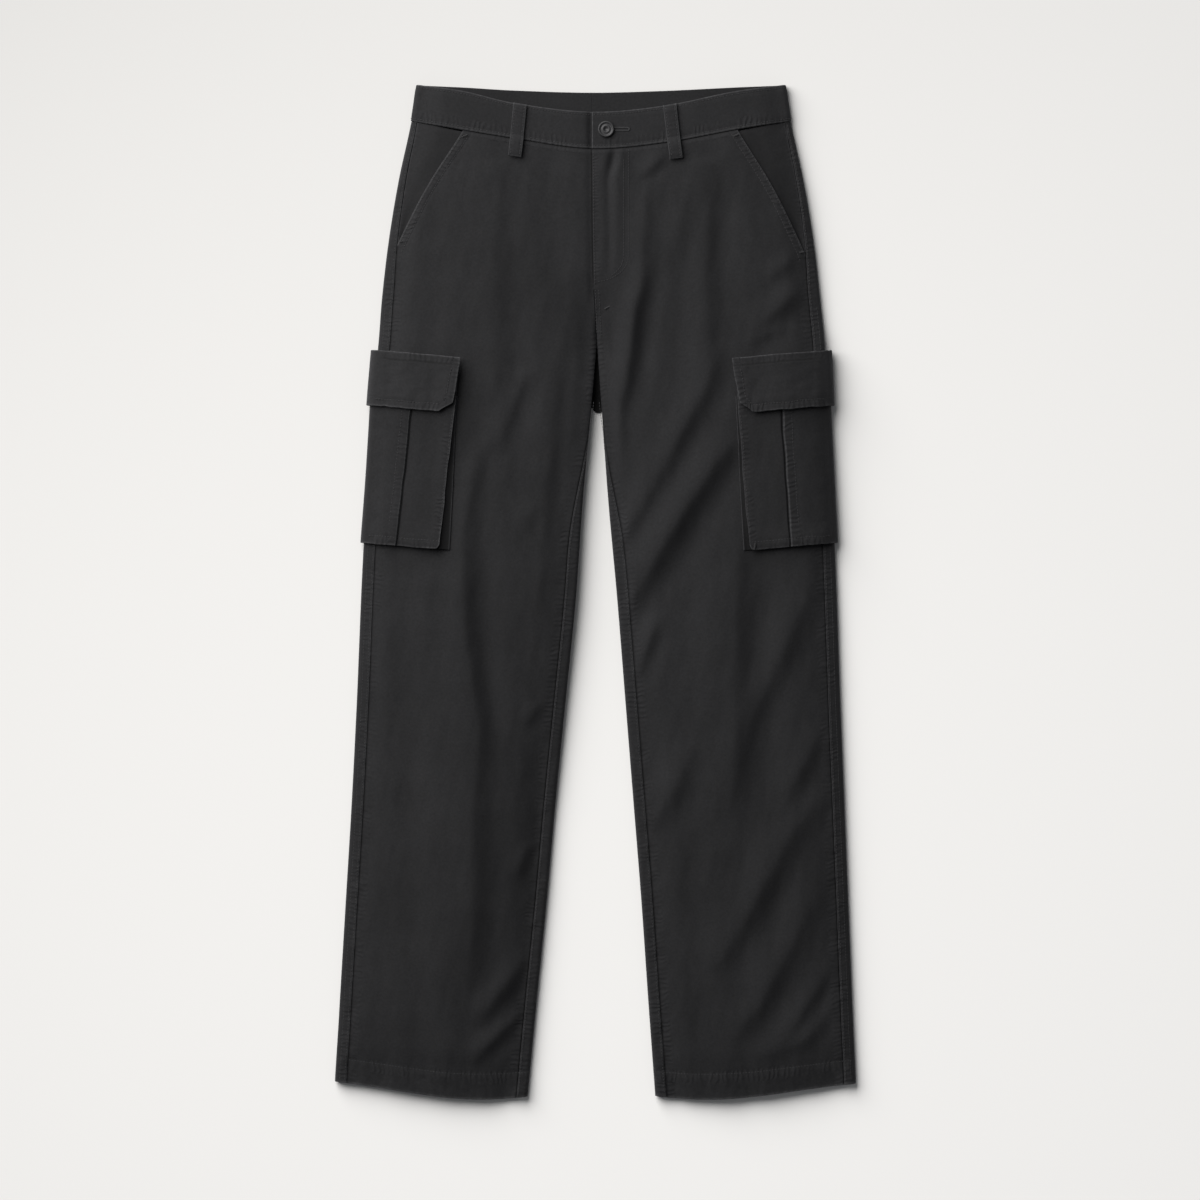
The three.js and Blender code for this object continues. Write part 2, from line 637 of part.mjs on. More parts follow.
function frontLoop(leg) {
  const end = SEAM_LEVEL - LOOP_TAIL.front;
  const levels = [TOP, SEAM_LEVEL + 20, SEAM_LEVEL + 4, SEAM_LEVEL - 4, SEAM_LEVEL - 16, end];
  const centre = (level) => {
    const { sideX } = legAt(leg, level);
    const t = (TOP - level) / (TOP - end);
    return roundFrom(Math.abs(mix(leg.loop.topX, leg.loop.bottomX, t) - sideX));
  };
  const out = BAND_PROUD + GAP + LOOP_WALL + LOOP_OFF;
  return beltLoop(`belt_loop_front_${leg.name}`, leg, levels, centre, out);
}

function backLoop(name, x) {
  const leg = x < 0 ? LEGS.right : LEGS.left;
  const levels = [TOP, SEAM_LEVEL + 20, SEAM_LEVEL, SEAM_LEVEL - LOOP_TAIL.back];
  const centre = (level) => -roundFrom(Math.abs(x - legAt(leg, level).sideX));
  return beltLoop(name, leg, levels, centre, GAP + LOOP_WALL);
}

// A dished disc with a raised rim and a low middle
function button() {
  const { radius, thick, rim } = BUTTON;
  const profile = [
    [0, 0],
    [radius * 0.8, 0],
    [radius, thick * 0.4],
    [radius, thick * 0.7],
    [radius - rim * 0.35, thick],
    [radius - rim, thick],
    [radius - rim * 1.5, thick * 0.72],
    [0, thick * 0.66],
  ].map(([r, z]) => new THREE.Vector2(r, z));
  const geometry = new THREE.LatheGeometry(profile, 20);
  geometry.rotateX(PI / 2);
  const mesh = new THREE.Mesh(geometry, buttonResin);
  mesh.name = 'button';
  const leg = LEGS.left;
  const level = SEAM_LEVEL + BAND_HEIGHT / 2;
  const seat = skin(leg, level, roundFrom(Math.abs(BUTTON.x - legAt(leg, level).sideX)));
  mesh.position.set(BUTTON.x, BUTTON.y, seat.z + BAND_PROUD + GAP);
  return mesh;
}

const group = new THREE.Group();
for (const leg of Object.values(LEGS)) {
  group.add(
    frontPanel(leg), backPanel(leg), pocketFacing(leg), waistband(leg),
    cargoPocket(leg), cargoGusset(leg), cargoFlap(leg), frontLoop(leg),
  );
}
const backLoopNames = ['belt_loop_back_right', 'belt_loop_back_centre', 'belt_loop_back_left'];
backLoopNames.forEach((name, k) => group.add(backLoop(name, BACK_LOOP_XS[k])));
group.add(button());

export default group;
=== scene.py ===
import math

import bpy
import numpy as np
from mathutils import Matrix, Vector


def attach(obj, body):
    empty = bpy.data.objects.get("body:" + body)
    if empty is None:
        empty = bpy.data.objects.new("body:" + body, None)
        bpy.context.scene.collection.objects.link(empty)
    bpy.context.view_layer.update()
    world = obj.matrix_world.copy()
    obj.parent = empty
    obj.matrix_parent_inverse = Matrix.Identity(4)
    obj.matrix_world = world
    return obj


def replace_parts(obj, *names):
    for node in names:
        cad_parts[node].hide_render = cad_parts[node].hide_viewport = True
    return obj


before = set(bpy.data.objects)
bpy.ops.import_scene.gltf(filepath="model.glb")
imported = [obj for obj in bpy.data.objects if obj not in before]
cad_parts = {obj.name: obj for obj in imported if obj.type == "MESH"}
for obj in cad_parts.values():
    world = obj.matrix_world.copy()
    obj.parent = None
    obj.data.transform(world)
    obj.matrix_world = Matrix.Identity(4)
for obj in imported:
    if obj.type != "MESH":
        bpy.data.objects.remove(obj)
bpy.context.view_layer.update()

# Cargo trousers of charcoal twill, laid flat with the front up. Lengths are millimetres up to
# the meshes, which are in metres. Left and right are the wearer's; the waist is at +Y.
# A point of the cloth has a level (its row down the garment) and a distance p round the leg
# from the side fold: positive over the front, negative underneath.
MM = 0.001

# Overall sizes
LENGTH = 1064.0
TOP = LENGTH / 2
BAND_HEIGHT = 38.3
SEAM_LEVEL = TOP - BAND_HEIGHT
HEM_LEVEL = -TOP + 9
FORK_LEVEL = 269.2

# Cloth and gaps
WALL = 1.2
BAND_WALL = 2.4
GAP = 0.3
HALF_GAP = GAP / 2
FOLD_RADIUS = 4.4
ARC = math.pi * FOLD_RADIUS / 2
RISE_RUN = 34.0
TILT = 0.088
TILT_RUN = 110.0


def table(names, rows):
    """Named columns from rows of numbers."""
    return {name: np.array([row[k] for row in rows], float) for k, name in enumerate(names.split())}


SIDE_FOLDS = table("y right left", [
    (532, -187.4, 199.0),
    (493.7, -193.2, 204.8),
    (433, -206.3, 217.9),
    (370, -216.8, 228.4),
    (307, -224.2, 235.7),
    (265, -227.3, 239.9),
    (202, -232.6, 243.1),
    (118, -238.0, 247.3),
    (34, -244.1, 251.5),
    (-113, -250.4, 256.7),
    (-218, -255.7, 260.9),
    (-323, -262.0, 265.1),
    (-428, -268.3, 269.3),
    (-532, -274.0, 273.6),
])
CENTRE = table("y x", [(532, -3.7), (464, -3.7), (328, -2.0), (259.5, 1.6)])
INNER_FOLDS = table("y right left", [
    (259.5, 1.6, 1.6),
    (199, -3.7, 5.8),
    (97, -13.1, 13.1),
    (-8, -20.5, 22.6),
    (-113, -31.0, 31.0),
    (-218, -41.5, 39.4),
    (-323, -50.9, 47.8),
    (-428, -61.4, 55.1),
    (-532, -71.3, 62.7),
])
WAIST = table("across front_top front_seam back_top", [
    (0, 532, 493.7, 532),
    (0.13, 524.5, 484.2, 529.5),
    (0.26, 512.6, 475.8, 526.5),
    (0.473, 503.1, 464.3, 524.1),
    (0.669, 509.4, 470.6, 526),
    (0.857, 524.1, 484.2, 529.5),
    (1, 532, 493.7, 532),
])
THICKNESS = table("y middle", [
    (532, 15), (494, 15.5), (400, 16.5), (269, 16), (100, 15.5),
    (-100, 14.5), (-300, 13.5), (-450, 12), (-532, 11),
])
SIDE_SEAM = table("y inset", [(494, 5.8), (363, 9.5), (306, 12), (-532, 12.5)])
INSEAM_INSET = 12.0
INSEAM_LEVEL = 45.0

# Fly
FLY_UNDERLAP = 12.0
FLY_FULL, FLY_NONE, FLY_FLUSH = 335.0, 318.0, 296.0
FLY_DIP = 1.7
BAND_DIP = BAND_WALL + 0.5
BAND_UNDERLAP = 38.0
DIP_RUN = 7.0
BAND_PROUD = 0.6
BAND_PUFF = 0.9  # how much prouder the soft waistband stands

# Cargo pockets and flaps
FLAP_TOP, FLAP_END = 253.2, 195.2
PATCH_TOP, POCKET_END = 236.0, 51.6
POCKET_UNDER = 54.0
FLAP_CLIP = 13.0
FLAP_LEAN = 6.0
PATCH_WALL, FLAP_WALL, GUSSET_WALL = 1.4, 2.0, 1.6
LAYER_GAP = 0.5
PATCH_FRONT = GAP + GUSSET_WALL + GAP
PLEAT_STEP = 1.2
BULGE = 1.3  # how far pocket and flap stand out beyond the solid's
BULGE_RUN = {"right": 60.0, "left": 7.0}  # reached this far from the side fold
EDGE_RISE = {"right": 2.5, "left": 0.0}  # and more along the pocket's front edge
EDGE_RUN = 26.0
POCKET_CORNER = 5.0
POCKET_TIP = 1.4  # how far its lower edge stands off the leg
# painted light: the right flap drawn a little paler
FLAP_PAINTED_LIGHT = {"right": 0.05, "left": 0.0}
# painted shade: each pocket drawn a little darker than its flap
POCKET_SHADE = {"right": -0.04, "left": -0.04}
# painted shade on the bellows beside the pocket's front edge
BELLOWS_SHADE = {"right": -0.85, "left": -0.8}
FLAP_TIP = {"right": 0.9, "left": 2.2}  # how far the flap's lower edge stands off the pocket
PATCH_STACK = LAYER_GAP + PATCH_WALL
FLAP_STACK = LAYER_GAP + FLAP_WALL
UNDER_FROM, UNDER_TO = 56.0, 82.0
LIFT_ABOVE, LIFT_BELOW, FLAP_LIFT_BELOW = 285.0, 28.0, 172.0

# Belt loops and button
LOOP_WIDTH = 14.0
LOOP_WALL = 1.6
LOOP_TAIL = 20.0
LOOP_RISE = 2.4
BACK_LOOP_XS = {"right": -98.0, "centre": 3.0, "left": 104.0}
WAIST_LIFT = LOOP_WALL + GAP + 0.2
WAIST_LIFT_FULL, WAIST_LIFT_NONE = 462.0, 404.0
WAIST_LIFT_FROM, WAIST_LIFT_TO = 14.0, 48.0
SEAT_END = 194.0  # lowest part of the seat between the legs
SEAT_TUCK = 1.0
FULLNESS = 4.0  # how much higher the soft cloth stands than the solid's
ROOF = 1.5  # the same down the middle of a leg, in shares of it
INNER_SWELL = {"right": 4.0, "left": 3.0}  # and near the inner edge of a thigh
INNER_HOVER = {"right": 11.0, "left": 3.0}  # how far that edge keeps off the table
INNER_FLAT = 9.0  # a flat strip along that edge
BACK_CREASES = 0.3  # the share of the front's folds that the hidden back has, mirrored and pressed by the table
INSEAM_SHOWS = 215.0  # the inseam lies in the inner fold's edge above this level
# Along the inner fold's edge: paler wear on the left leg, painted shade on the right
INNER_WEAR_AND_SHADE = {"right": -0.9, "left": 0.2}
HEM_SINK = 4.5  # how far the front sinks towards the hem
BUTTON_X, BUTTON_Y, BUTTON_RADIUS, BUTTON_THICK = 11.0, 484.7, 8.5, 3.2

HEM_FOLD = 27.0  # hem stitching above the edge


class Leg:
    def __init__(self, name, sign, hem, slant, pocket, loop):
        self.name = name
        self.sign = sign
        self.hem_outer, self.hem_inner, self.hem_bow = hem
        self.slant_top, self.slant_end = slant
        self.pocket_top, self.pocket_bottom, self.pleat_top, self.pleat_bottom = pocket[:4]
        self.flap, self.bellows = pocket[4:]
        self.loop_top, self.loop_bottom = loop


RIGHT = Leg("right", -1, (-513.3, -529.1, 7.5), (54.6, 363.5), (86, 80, 40, 34, 88, 10.5), (-78.8, -84.5))
LEFT = Leg("left", 1, (-515.4, -528.5, 7.5), (56.2, 352), (94.5, 90, 48, 46, 98, 6), (77.7, 84.5))
LEGS = (RIGHT, LEFT)

FOLD_STEPS = 28
FOLD_DEPTH = 1.7


class Fold:
    """A soft ridge of the front through points (x, y, height); negative heights make a trough.
    It falls off more steeply on one side, the one away from the light, than on the other."""

    def __init__(self, steep, soft, *nodes):
        self.steep, self.soft = steep, soft
        nodes = np.array(nodes, float)
        keys = np.arange(len(nodes))
        at = np.linspace(0, len(nodes) - 1, FOLD_STEPS + 1)
        column_table = {"key": keys, "x": nodes[:, 0], "y": nodes[:, 1], "height": nodes[:, 2]}
        self.x, self.y, self.height = (read(column_table, "key", name, at) for name in ("x", "y", "height"))


def smooth(t):
    u = np.clip(t, 0, 1)
    return u * u * (3 - 2 * u)


def mix(a, b, t):
    return a + (b - a) * t


def read(tab, key, column, at):
    """A smooth curve through a table's rows, read in one of its columns."""
    keys, values = tab[key], tab[column]
    if keys[0] > keys[-1]:
        keys, values = keys[::-1], values[::-1]
    n = len(keys)
    low, high = np.maximum(np.arange(n) - 1, 0), np.minimum(np.arange(n) + 1, n - 1)
    slopes = (values[high] - values[low]) / (keys[high] - keys[low])
    at = np.clip(np.asarray(at, float), keys[0], keys[-1])
    i = np.clip(np.searchsorted(keys, at) - 1, 0, n - 2)
    span = keys[i + 1] - keys[i]
    t = (at - keys[i]) / span
    t2, t3 = t * t, t * t * t
    return (
        (2 * t3 - 3 * t2 + 1) * values[i] + (t3 - 2 * t2 + t) * span * slopes[i]
        + (3 * t2 - 2 * t3) * values[i + 1] + (t3 - t2) * span * slopes[i + 1]
    )


def hem_height(leg, u):
    return mix(leg.hem_outer, leg.hem_inner, u) - leg.hem_bow * np.sin(np.pi * np.clip(u, 0, 1) ** 1.5)


def row_height(leg, level, inset, width, x, on_front):
    """Height on the table of the point of a row this far in from the side fold."""
    left, right = read(SIDE_FOLDS, "y", "left", level), read(SIDE_FOLDS, "y", "right", level)
    across = (x - right) / (left - right)
    back_top = read(WAIST, "across", "back_top", across)
    top = np.where(on_front, read(WAIST, "across", "front_top", across), back_top)
    seam = np.where(on_front, read(WAIST, "across", "front_seam", across), back_top - BAND_HEIGHT)
    waist_share = smooth((level - 394) / (SEAM_LEVEL - 394))
    hem_share = smooth((-443 - level) / 80)
    tilt_share = smooth((330 - level) / 55) * (1 - hem_share)
    low = (
        level + waist_share * (seam - SEAM_LEVEL) - tilt_share * TILT * np.minimum(inset, TILT_RUN)
        + hem_share * (hem_height(leg, inset / width) - HEM_LEVEL)
    )
    return np.where(level > SEAM_LEVEL, mix(seam, top, (level - SEAM_LEVEL) / BAND_HEIGHT), low)


def leg_at(leg, level):
    """Where the leg's folds are at a level: side x, width, and length of a face round its folds."""
    side_x = read(SIDE_FOLDS, "y", leg.name, level)
    near_width = 200.0
    inner_y = row_height(leg, level, near_width, near_width, 0.0, True)
    centre = read(CENTRE, "y", "x", np.where(level > SEAM_LEVEL, level, inner_y))
    inner_x = np.where(level > FORK_LEVEL, centre, read(INNER_FOLDS, "y", leg.name, inner_y))
    width = np.abs(inner_x - side_x) - HALF_GAP
    return side_x, width, width - 2 * FOLD_RADIUS + np.pi * FOLD_RADIUS


def closing(level):
    return smooth((FORK_LEVEL + 30 - level) / 30)


def narrowing(level):
    return smooth((FORK_LEVEL + 75 - level) / 90)


def section(level, width, face, p):
    """Distance in from the side fold, face and turn round a fold of points of a section."""
    wrapped = (p < -face) & (level <= FORK_LEVEL)
    on_front = (p >= 0) | wrapped
    a = np.where(wrapped, 2 * face + p, np.abs(p))
    b = face - a
    angle = a / FOLD_RADIUS
    inset = FOLD_RADIUS + a - ARC
    turn = np.ones_like(a)
    near = a < ARC
    inset = np.where(near, FOLD_RADIUS * (1 - np.cos(angle)), inset)
    turn = np.where(near, np.sin(angle), turn)
    closed = closing(level)
    inner_angle = b / FOLD_RADIUS
    inner_inset = mix(b / ARC * FOLD_RADIUS, FOLD_RADIUS * (1 - np.cos(inner_angle)), closed)
    far = (b < ARC) & (b >= 0)
    inset = np.where(far, width - inner_inset, inset)
    turn = np.where(far, mix(1, np.sin(inner_angle), closed), turn)
    inset = np.where(b < 0, width - b, inset)
    return on_front, inset, turn


def folds():
    """The folds of the front as the photograph shows them, each drawn from its upper end."""
    return [
        # Right leg: the long ridge down its middle with a broad slope beside it, then lesser ones
        Fold(11, 45, (-139, 110, 0), (-141, 24, 2.9), (-139, -37, 3.7), (-133, -78, 4.1), (-126, -124, 4.0),
             (-123, -160, 2.9), (-128, -201, 1.9), (-131, -252, 1.8), (-131, -304, 1.8), (-131, -345, 2.0),
             (-134, -380, 1.5), (-140, -432, 0)),
        Fold(42, 60, (-134, -60, 0), (-132, -160, 3.2), (-134, -230, 4.3), (-136, -304, 4.4), (-138, -380, 3.8),
             (-142, -440, 2.4), (-146, -495, 0)),
        Fold(16, 30, (-107, 455, 0), (-107, 431, 1.1), (-108, 332, 2.0), (-113, 282, 1.8), (-109, 232, 1.2), (-114, 196, 0)),
        Fold(8, 12, (-74, 236, 0), (-78, 222, 1.2), (-87, 199, 1.5), (-100, 163, 0.9), (-108, 145, 0)),
        Fold(8, 12, (-124, 160, 0), (-127, 133, 1.5), (-134, 95, 1.3), (-138, 60, 0)),
        Fold(9, 14, (-71, -376, 0), (-93, -408, 2.7), (-111, -432, 2.3), (-126, -456, 0)),
        Fold(7, 12, (-76, -436, 0), (-98, -458, 2.2), (-118, -478, 1.9), (-132, -495, 0)),
        Fold(6, 9, (-71, -260, 0), (-77, -280, 1.5), (-85, -302, 0)),
        Fold(6, 9, (-60, -112, 0), (-66, -126, 1.1), (-76, -142, 0)),
        Fold(8, 12, (-65, 97, 0), (-74, 76, 1.2), (-81, 50, 0)),
        # Left leg: from the waist over the thigh
        Fold(9, 13, (51, 432, 0), (50, 404, 1.7), (47, 359, 2.2), (47, 327, 3.8), (39, 291, 4.9), (34, 250, 4.9),
             (29, 219, 4.2), (23, 192, 3.2), (21, 151, 2.2), (21, 110, 1.2), (21, 80, 0)),
        Fold(5, 6, (8, 292, 0), (9, 268, 1.5), (13, 240, 1.8), (16, 212, 1.2), (20, 188, 0)),
        Fold(12, 24, (117, 458, 0), (117, 436, 1.7), (113, 350, 2.0), (115, 296, 2.0), (113, 252, 1.5), (115, 222, 0)),
        Fold(9, 14, (91, 432, 0), (89, 402, 1.3), (85, 372, 1.2), (80, 340, 0)),
        Fold(6, 9, (79, 465, 0), (60, 448, 1.4), (41, 430, 0)),
        Fold(10, 17, (128, 264, 0), (115, 222, 2.4), (94, 178, 3.0), (76, 145, 2.2), (49, 96, 2.3), (27, 60, 1.9), (15, 40, 0)),
        Fold(12, 20, (148, 168, 0), (124, 136, 3.8), (80, 68, 4.6), (40, 0, 3.2), (24, -32, 0)),
        Fold(7, 10, (62, -22, 0), (55, -50, 2.6), (48, -74, 1.7), (43, -97, 0)),
        # Beside the pocket
        Fold(7, 10, (213, 357, 0), (195, 341, 1.2), (172, 322, 0)),
        Fold(9, 16, (213, 322, 0), (200, 307, 2.1), (178, 288, 1.8), (158, 274, 0)),
        Fold(7, 11, (203, 281, 0), (178, 271, 1.3), (154, 262, 0)),
        # Down the middle, and slanting in from the side
        Fold(14, 50, (144, 80, 0), (145, 20, 3.2), (144, -60, 3.5), (142, -130, 2.9), (141, -200, 2.1),
             (139, -290, 0.9), (138, -335, 0)),
        Fold(12, 20, (228, 18, 0), (203, -38, 2.7), (181, -90, 2.7), (160, -136, 2.4), (146, -182, 1.8), (140, -238, 0)),
        Fold(9, 14, (234, -138, 0), (218, -177, 2.3), (203, -207, 1.6), (189, -238, 0)),
        Fold(12, 19, (242, -203, 0), (207, -247, 2.3), (181, -293, 2.9), (161, -329, 2.9), (135, -375, 1.7), (113, -395, 0)),
        Fold(11, 17, (244, -290, 0), (212, -350, 1.8), (186, -401, 2.6), (166, -437, 2.2), (133, -475, 0)),
        Fold(7, 11, (248, -385, 0), (228, -420, 1.4), (207, -452, 1.2), (189, -476, 0)),
        Fold(8, 12, (249, -420, 0), (229, -457, 1.3), (205, -473, 1.1), (158, -487, 0)),
        Fold(11, 17, (98, -154, 0), (84, -196, 2.4), (68, -228, 2.0), (51, -254, 0)),
        # The trough beside the fly
        Fold(4, 5, (20, 469, 0), (18, 452, -2.6), (14, 430, -1.6), (14.5, 395, -1.0), (15, 350, -0.9), (14, 325, 0)),
    ]


FOLDS = folds()


def fold_height(x, y):
    """Height of all the folds at points of the front."""
    total = np.zeros_like(x)
    for fold in FOLDS:
        reach = 2.2 * max(fold.soft, fold.steep) + 4
        near = (x > fold.x.min() - reach) & (x < fold.x.max() + reach)
        near &= (y > fold.y.min() - reach) & (y < fold.y.max() + reach)
        if not near.any():
            continue
        px, py = x[near], y[near]
        best = np.full(px.shape, 1e9)
        side, height = np.zeros(px.shape), np.zeros(px.shape)
        for i in range(FOLD_STEPS):
            ax, ay = fold.x[i], fold.y[i]
            dx, dy = fold.x[i + 1] - ax, fold.y[i + 1] - ay
            u = np.clip(((px - ax) * dx + (py - ay) * dy) / (dx * dx + dy * dy), 0, 1)
            away = np.hypot(px - ax - u * dx, py - ay - u * dy)
            hit = away < best
            best = np.where(hit, away, best)
            side = np.where(hit, np.sign(dx * (py - ay) - dy * (px - ax)), side)
            height = np.where(hit, mix(fold.height[i], fold.height[i + 1], u), height)
        n = best * side
        ridge = np.exp(-(n / np.where(n > 0, fold.steep, fold.soft)) ** 2)
        ridge -= 0.25 * np.exp(-((n - 2.0 * fold.steep) / (1.1 * fold.steep)) ** 2)
        total[near] += FOLD_DEPTH * height * ridge
    return total


def waves(seed, count, longest, shortest, stretch=(1.0, 1.0)):
    """A smooth uneven field over the table, about -1 to 1."""
    rng = np.random.default_rng(seed)
    angle = rng.uniform(0, 2 * np.pi, count)
    length = np.exp(rng.uniform(np.log(shortest), np.log(longest), count))
    phase = rng.uniform(0, 2 * np.pi, count)
    kx, ky = 2 * np.pi / length * np.cos(angle) / stretch[0], 2 * np.pi / length * np.sin(angle) / stretch[1]

    def field(x, y):
        total = np.zeros(np.broadcast(x, y).shape)
        for a, b, c in zip(kx, ky, phase):
            total += np.sin(a * x + b * y + c)
        return total / np.sqrt(count)

    return field


SLACK = waves(11, 18, 150, 45, (0.8, 1.9))
RIPPLE = waves(12, 22, 42, 15, (0.8, 1.5))
PUCKER = waves(13, 14, 26, 8)


def plateau(level, a, b, c, d):
    return np.minimum(np.clip((a - level) / (a - b), 0, 1), np.clip((level - d) / (c - d), 0, 1))


def lift(level, inset):
    """How far pockets, flaps and belt loops beneath raise the leg off the table."""
    pocket = plateau(level, LIFT_ABOVE, FLAP_TOP, POCKET_END, LIFT_BELOW)
    flap = plateau(level, LIFT_ABOVE, FLAP_TOP, FLAP_END, FLAP_LIFT_BELOW)
    near = 1 - np.clip((inset - UNDER_FROM) / (UNDER_TO - UNDER_FROM), 0, 1)
    waist = np.clip((level - WAIST_LIFT_NONE) / (WAIST_LIFT_FULL - WAIST_LIFT_NONE), 0, 1)
    inward = np.clip((inset - WAIST_LIFT_FROM) / (WAIST_LIFT_TO - WAIST_LIFT_FROM), 0, 1)
    return near * (PATCH_STACK * pocket + FLAP_STACK * flap) + WAIST_LIFT * waist * inward


def round_from(inset):
    return ARC + inset - FOLD_RADIUS


def side_seam(level):
    return round_from(read(SIDE_SEAM, "y", "inset", level))


def inseam(level):
    return round_from(INSEAM_INSET) * smooth((INSEAM_SHOWS - level) / (INSEAM_SHOWS - INSEAM_LEVEL))


def slant_edge(leg, level):
    t = (SEAM_LEVEL - level) / (SEAM_LEVEL - leg.slant_end)
    return mix(round_from(leg.slant_top), side_seam(leg.slant_end), t)


def front_start(leg, level):
    return np.maximum(side_seam(level) + GAP, slant_edge(leg, level))


def seam_relief(leg, level, p, face, x, y):
    """Fine form along the seams of the front: puckers, raised strips, the hem's fold and stitch lines."""
    to_side = p - side_seam(level)
    to_inner = face - inseam(level) - p
    pucker = PUCKER(x, y)
    legs = smooth((HEM_LEVEL + 400 - level) / 200)
    total = 0.5 * pucker * (np.exp(-np.abs(to_side) / 6) + np.exp(-np.abs(to_inner) / 7) * narrowing(level))
    # The back's edge laps over the front's along the side seam
    total += 0.55 * smooth((0.6 - to_side) / 1.6) * (level < SEAM_LEVEL) * smooth((p - ARC) / 2)
    total += 0.5 * smooth((0.4 - to_inner) / 1.6) * narrowing(level)
    # Hem
    above = level - HEM_LEVEL
    rope = np.sin(2 * np.pi * (x + 0.55 * above) / 13 + 1.4 * pucker)
    total += 0.5 * smooth((HEM_FOLD + 1 - above) / 2.5)
    total += 0.28 * rope * plateau(level, HEM_LEVEL + HEM_FOLD + 5, HEM_LEVEL + HEM_FOLD - 6, HEM_LEVEL + 6, HEM_LEVEL - 4)
    total -= 0.45 * np.exp(-((above - HEM_FOLD) / 1.6) ** 2)
    # Gathers above and below the waist seam
    below = SEAM_LEVEL - level
    gather = np.sin(2 * np.pi * x / 11 + 2.2 * pucker)
    total += 0.3 * gather * np.exp(-np.abs(below) / 11) * smooth(0.35 + 0.5 * SLACK(x, 0 * y))
    # Hand pocket edge: a stitched rim that stands a little off the facing
    to_slant = p - slant_edge(leg, level)
    on_slant = (level > leg.slant_end) & (level <= SEAM_LEVEL)
    rim = smooth((9 - to_slant) / 2)
    total += on_slant * (rim * (0.7 + 0.4 * pucker) - 0.5 * np.exp(-((to_slant - 8.4) / 1.5) ** 2))
    return total * (0.6 + 0.4 * legs)


def skin(leg, level, p, detail=1.0):
    """Outer skin of a leg, panel and waistband alike, as an array of points."""
    level, p = np.broadcast_arrays(np.asarray(level, float), np.asarray(p, float))
    side_x, width, face = leg_at(leg, level)
    on_front, inset, turn = section(level, width, face, p)
    x = side_x - leg.sign * inset
    y = row_height(leg, level, inset, width, x, on_front)
    lifted = lift(level, inset)
    to_inner = width - inset
    narrow = narrowing(level)
    middle = read(THICKNESS, "y", "middle", level)
    climb = smooth(inset / RISE_RUN) * mix(1, smooth((to_inner - INNER_FLAT) / RISE_RUN), narrow)
    clear = smooth((inset - 9) / 16) * mix(1, smooth((to_inner - 5) / 14), narrow)
    loose = smooth((inset - 4) / 22) * mix(1, smooth((to_inner - 4) / 22), narrow)
    band = smooth((level - SEAM_LEVEL + 4) / 8)
    z = FOLD_RADIUS * (1 + turn) + (middle - 2 * FOLD_RADIUS) * climb
    z = z + lifted * (1 - 0.6 * smooth(inset / RISE_RUN))
    roof = 1 - np.abs(np.clip(2 * inset / width - 1, -1, 1)) ** 1.6
    full = mix(smooth(inset / 70), roof * ROOF, narrow) * FULLNESS
    swell = INNER_SWELL[leg.name] * smooth(to_inner / 22) * (1 - 0.85 * smooth((to_inner - 22) / 75))
    swell = swell * smooth((FORK_LEVEL + 20 - level) / 60) * smooth((level + 330) / 400)
    sink = HEM_SINK * smooth((HEM_LEVEL + 55 - level) / 55) * loose
    relief = (clear * fold_height(x, y) + full + swell - sink) * (1 - band)
    relief = relief + detail * loose * (0.8 * SLACK(x, y) + 0.22 * RIPPLE(x, y)) * (1 - 0.75 * band)
    hover = INNER_HOVER[leg.name] * smooth((34 - to_inner) / 34) * plateau(level, FORK_LEVEL + 4, FORK_LEVEL - 46, 0, -230)
    front_p = np.where(p < -face, p + 2 * face, p)
    relief = relief + detail * smooth(turn * 3 - 1.6) * seam_relief(leg, level, front_p, face, x, y)
    z = z + relief + hover * (0.8 - 0.2 * turn)
    if leg is RIGHT:
        depth = np.where(level > SEAM_LEVEL, BAND_DIP, FLY_DIP)
        dip = depth * smooth((y - FLY_FLUSH) / (FLY_NONE - FLY_FLUSH)) * smooth((DIP_RUN + 1 - to_inner) / DIP_RUN)
        z = z - dip
    under = FOLD_RADIUS * (1 - turn) + lifted + hover * (0.8 + 0.2 * turn)
    if not on_front.all():
        pressed = np.maximum(fold_height(-x, y), 0) * clear * (1 - band)
        under = under + BACK_CREASES * pressed * smooth(turn * 3 - 1.6)
    return np.stack([x, y, np.where(on_front, z, under)], axis=-1)


def normals(leg, points, level, p):
    """Outward normals of a grid of skin points."""
    across = np.gradient(points, axis=1) * np.sign(p[0, -1] - p[0, 0])
    along = np.gradient(points, axis=0) * np.sign(level[-1, 0] - level[0, 0])
    n = np.cross(across, along) * -leg.sign
    return n / np.maximum(np.linalg.norm(n, axis=-1, keepdims=True), 1e-9)


def steps(start, stop, pitch):
    count = max(2, int(round(abs(stop - start) / pitch)) + 1)
    return np.linspace(start, stop, count)


def column(values):
    return np.asarray(values, float).reshape(-1, 1)


def between(start, stop, count):
    """Evenly spread columns from one distance round the leg to another, row by row."""
    return column(start) + (column(stop) - column(start)) * np.linspace(0, 1, count)


# Meshes

# How far the dye is worn off (below 0: how dark the cloth is painted in shade), where sewing puckers the
# cloth, and the distance along that seam
MARKS = ("wear_and_shade", "seam", "run")


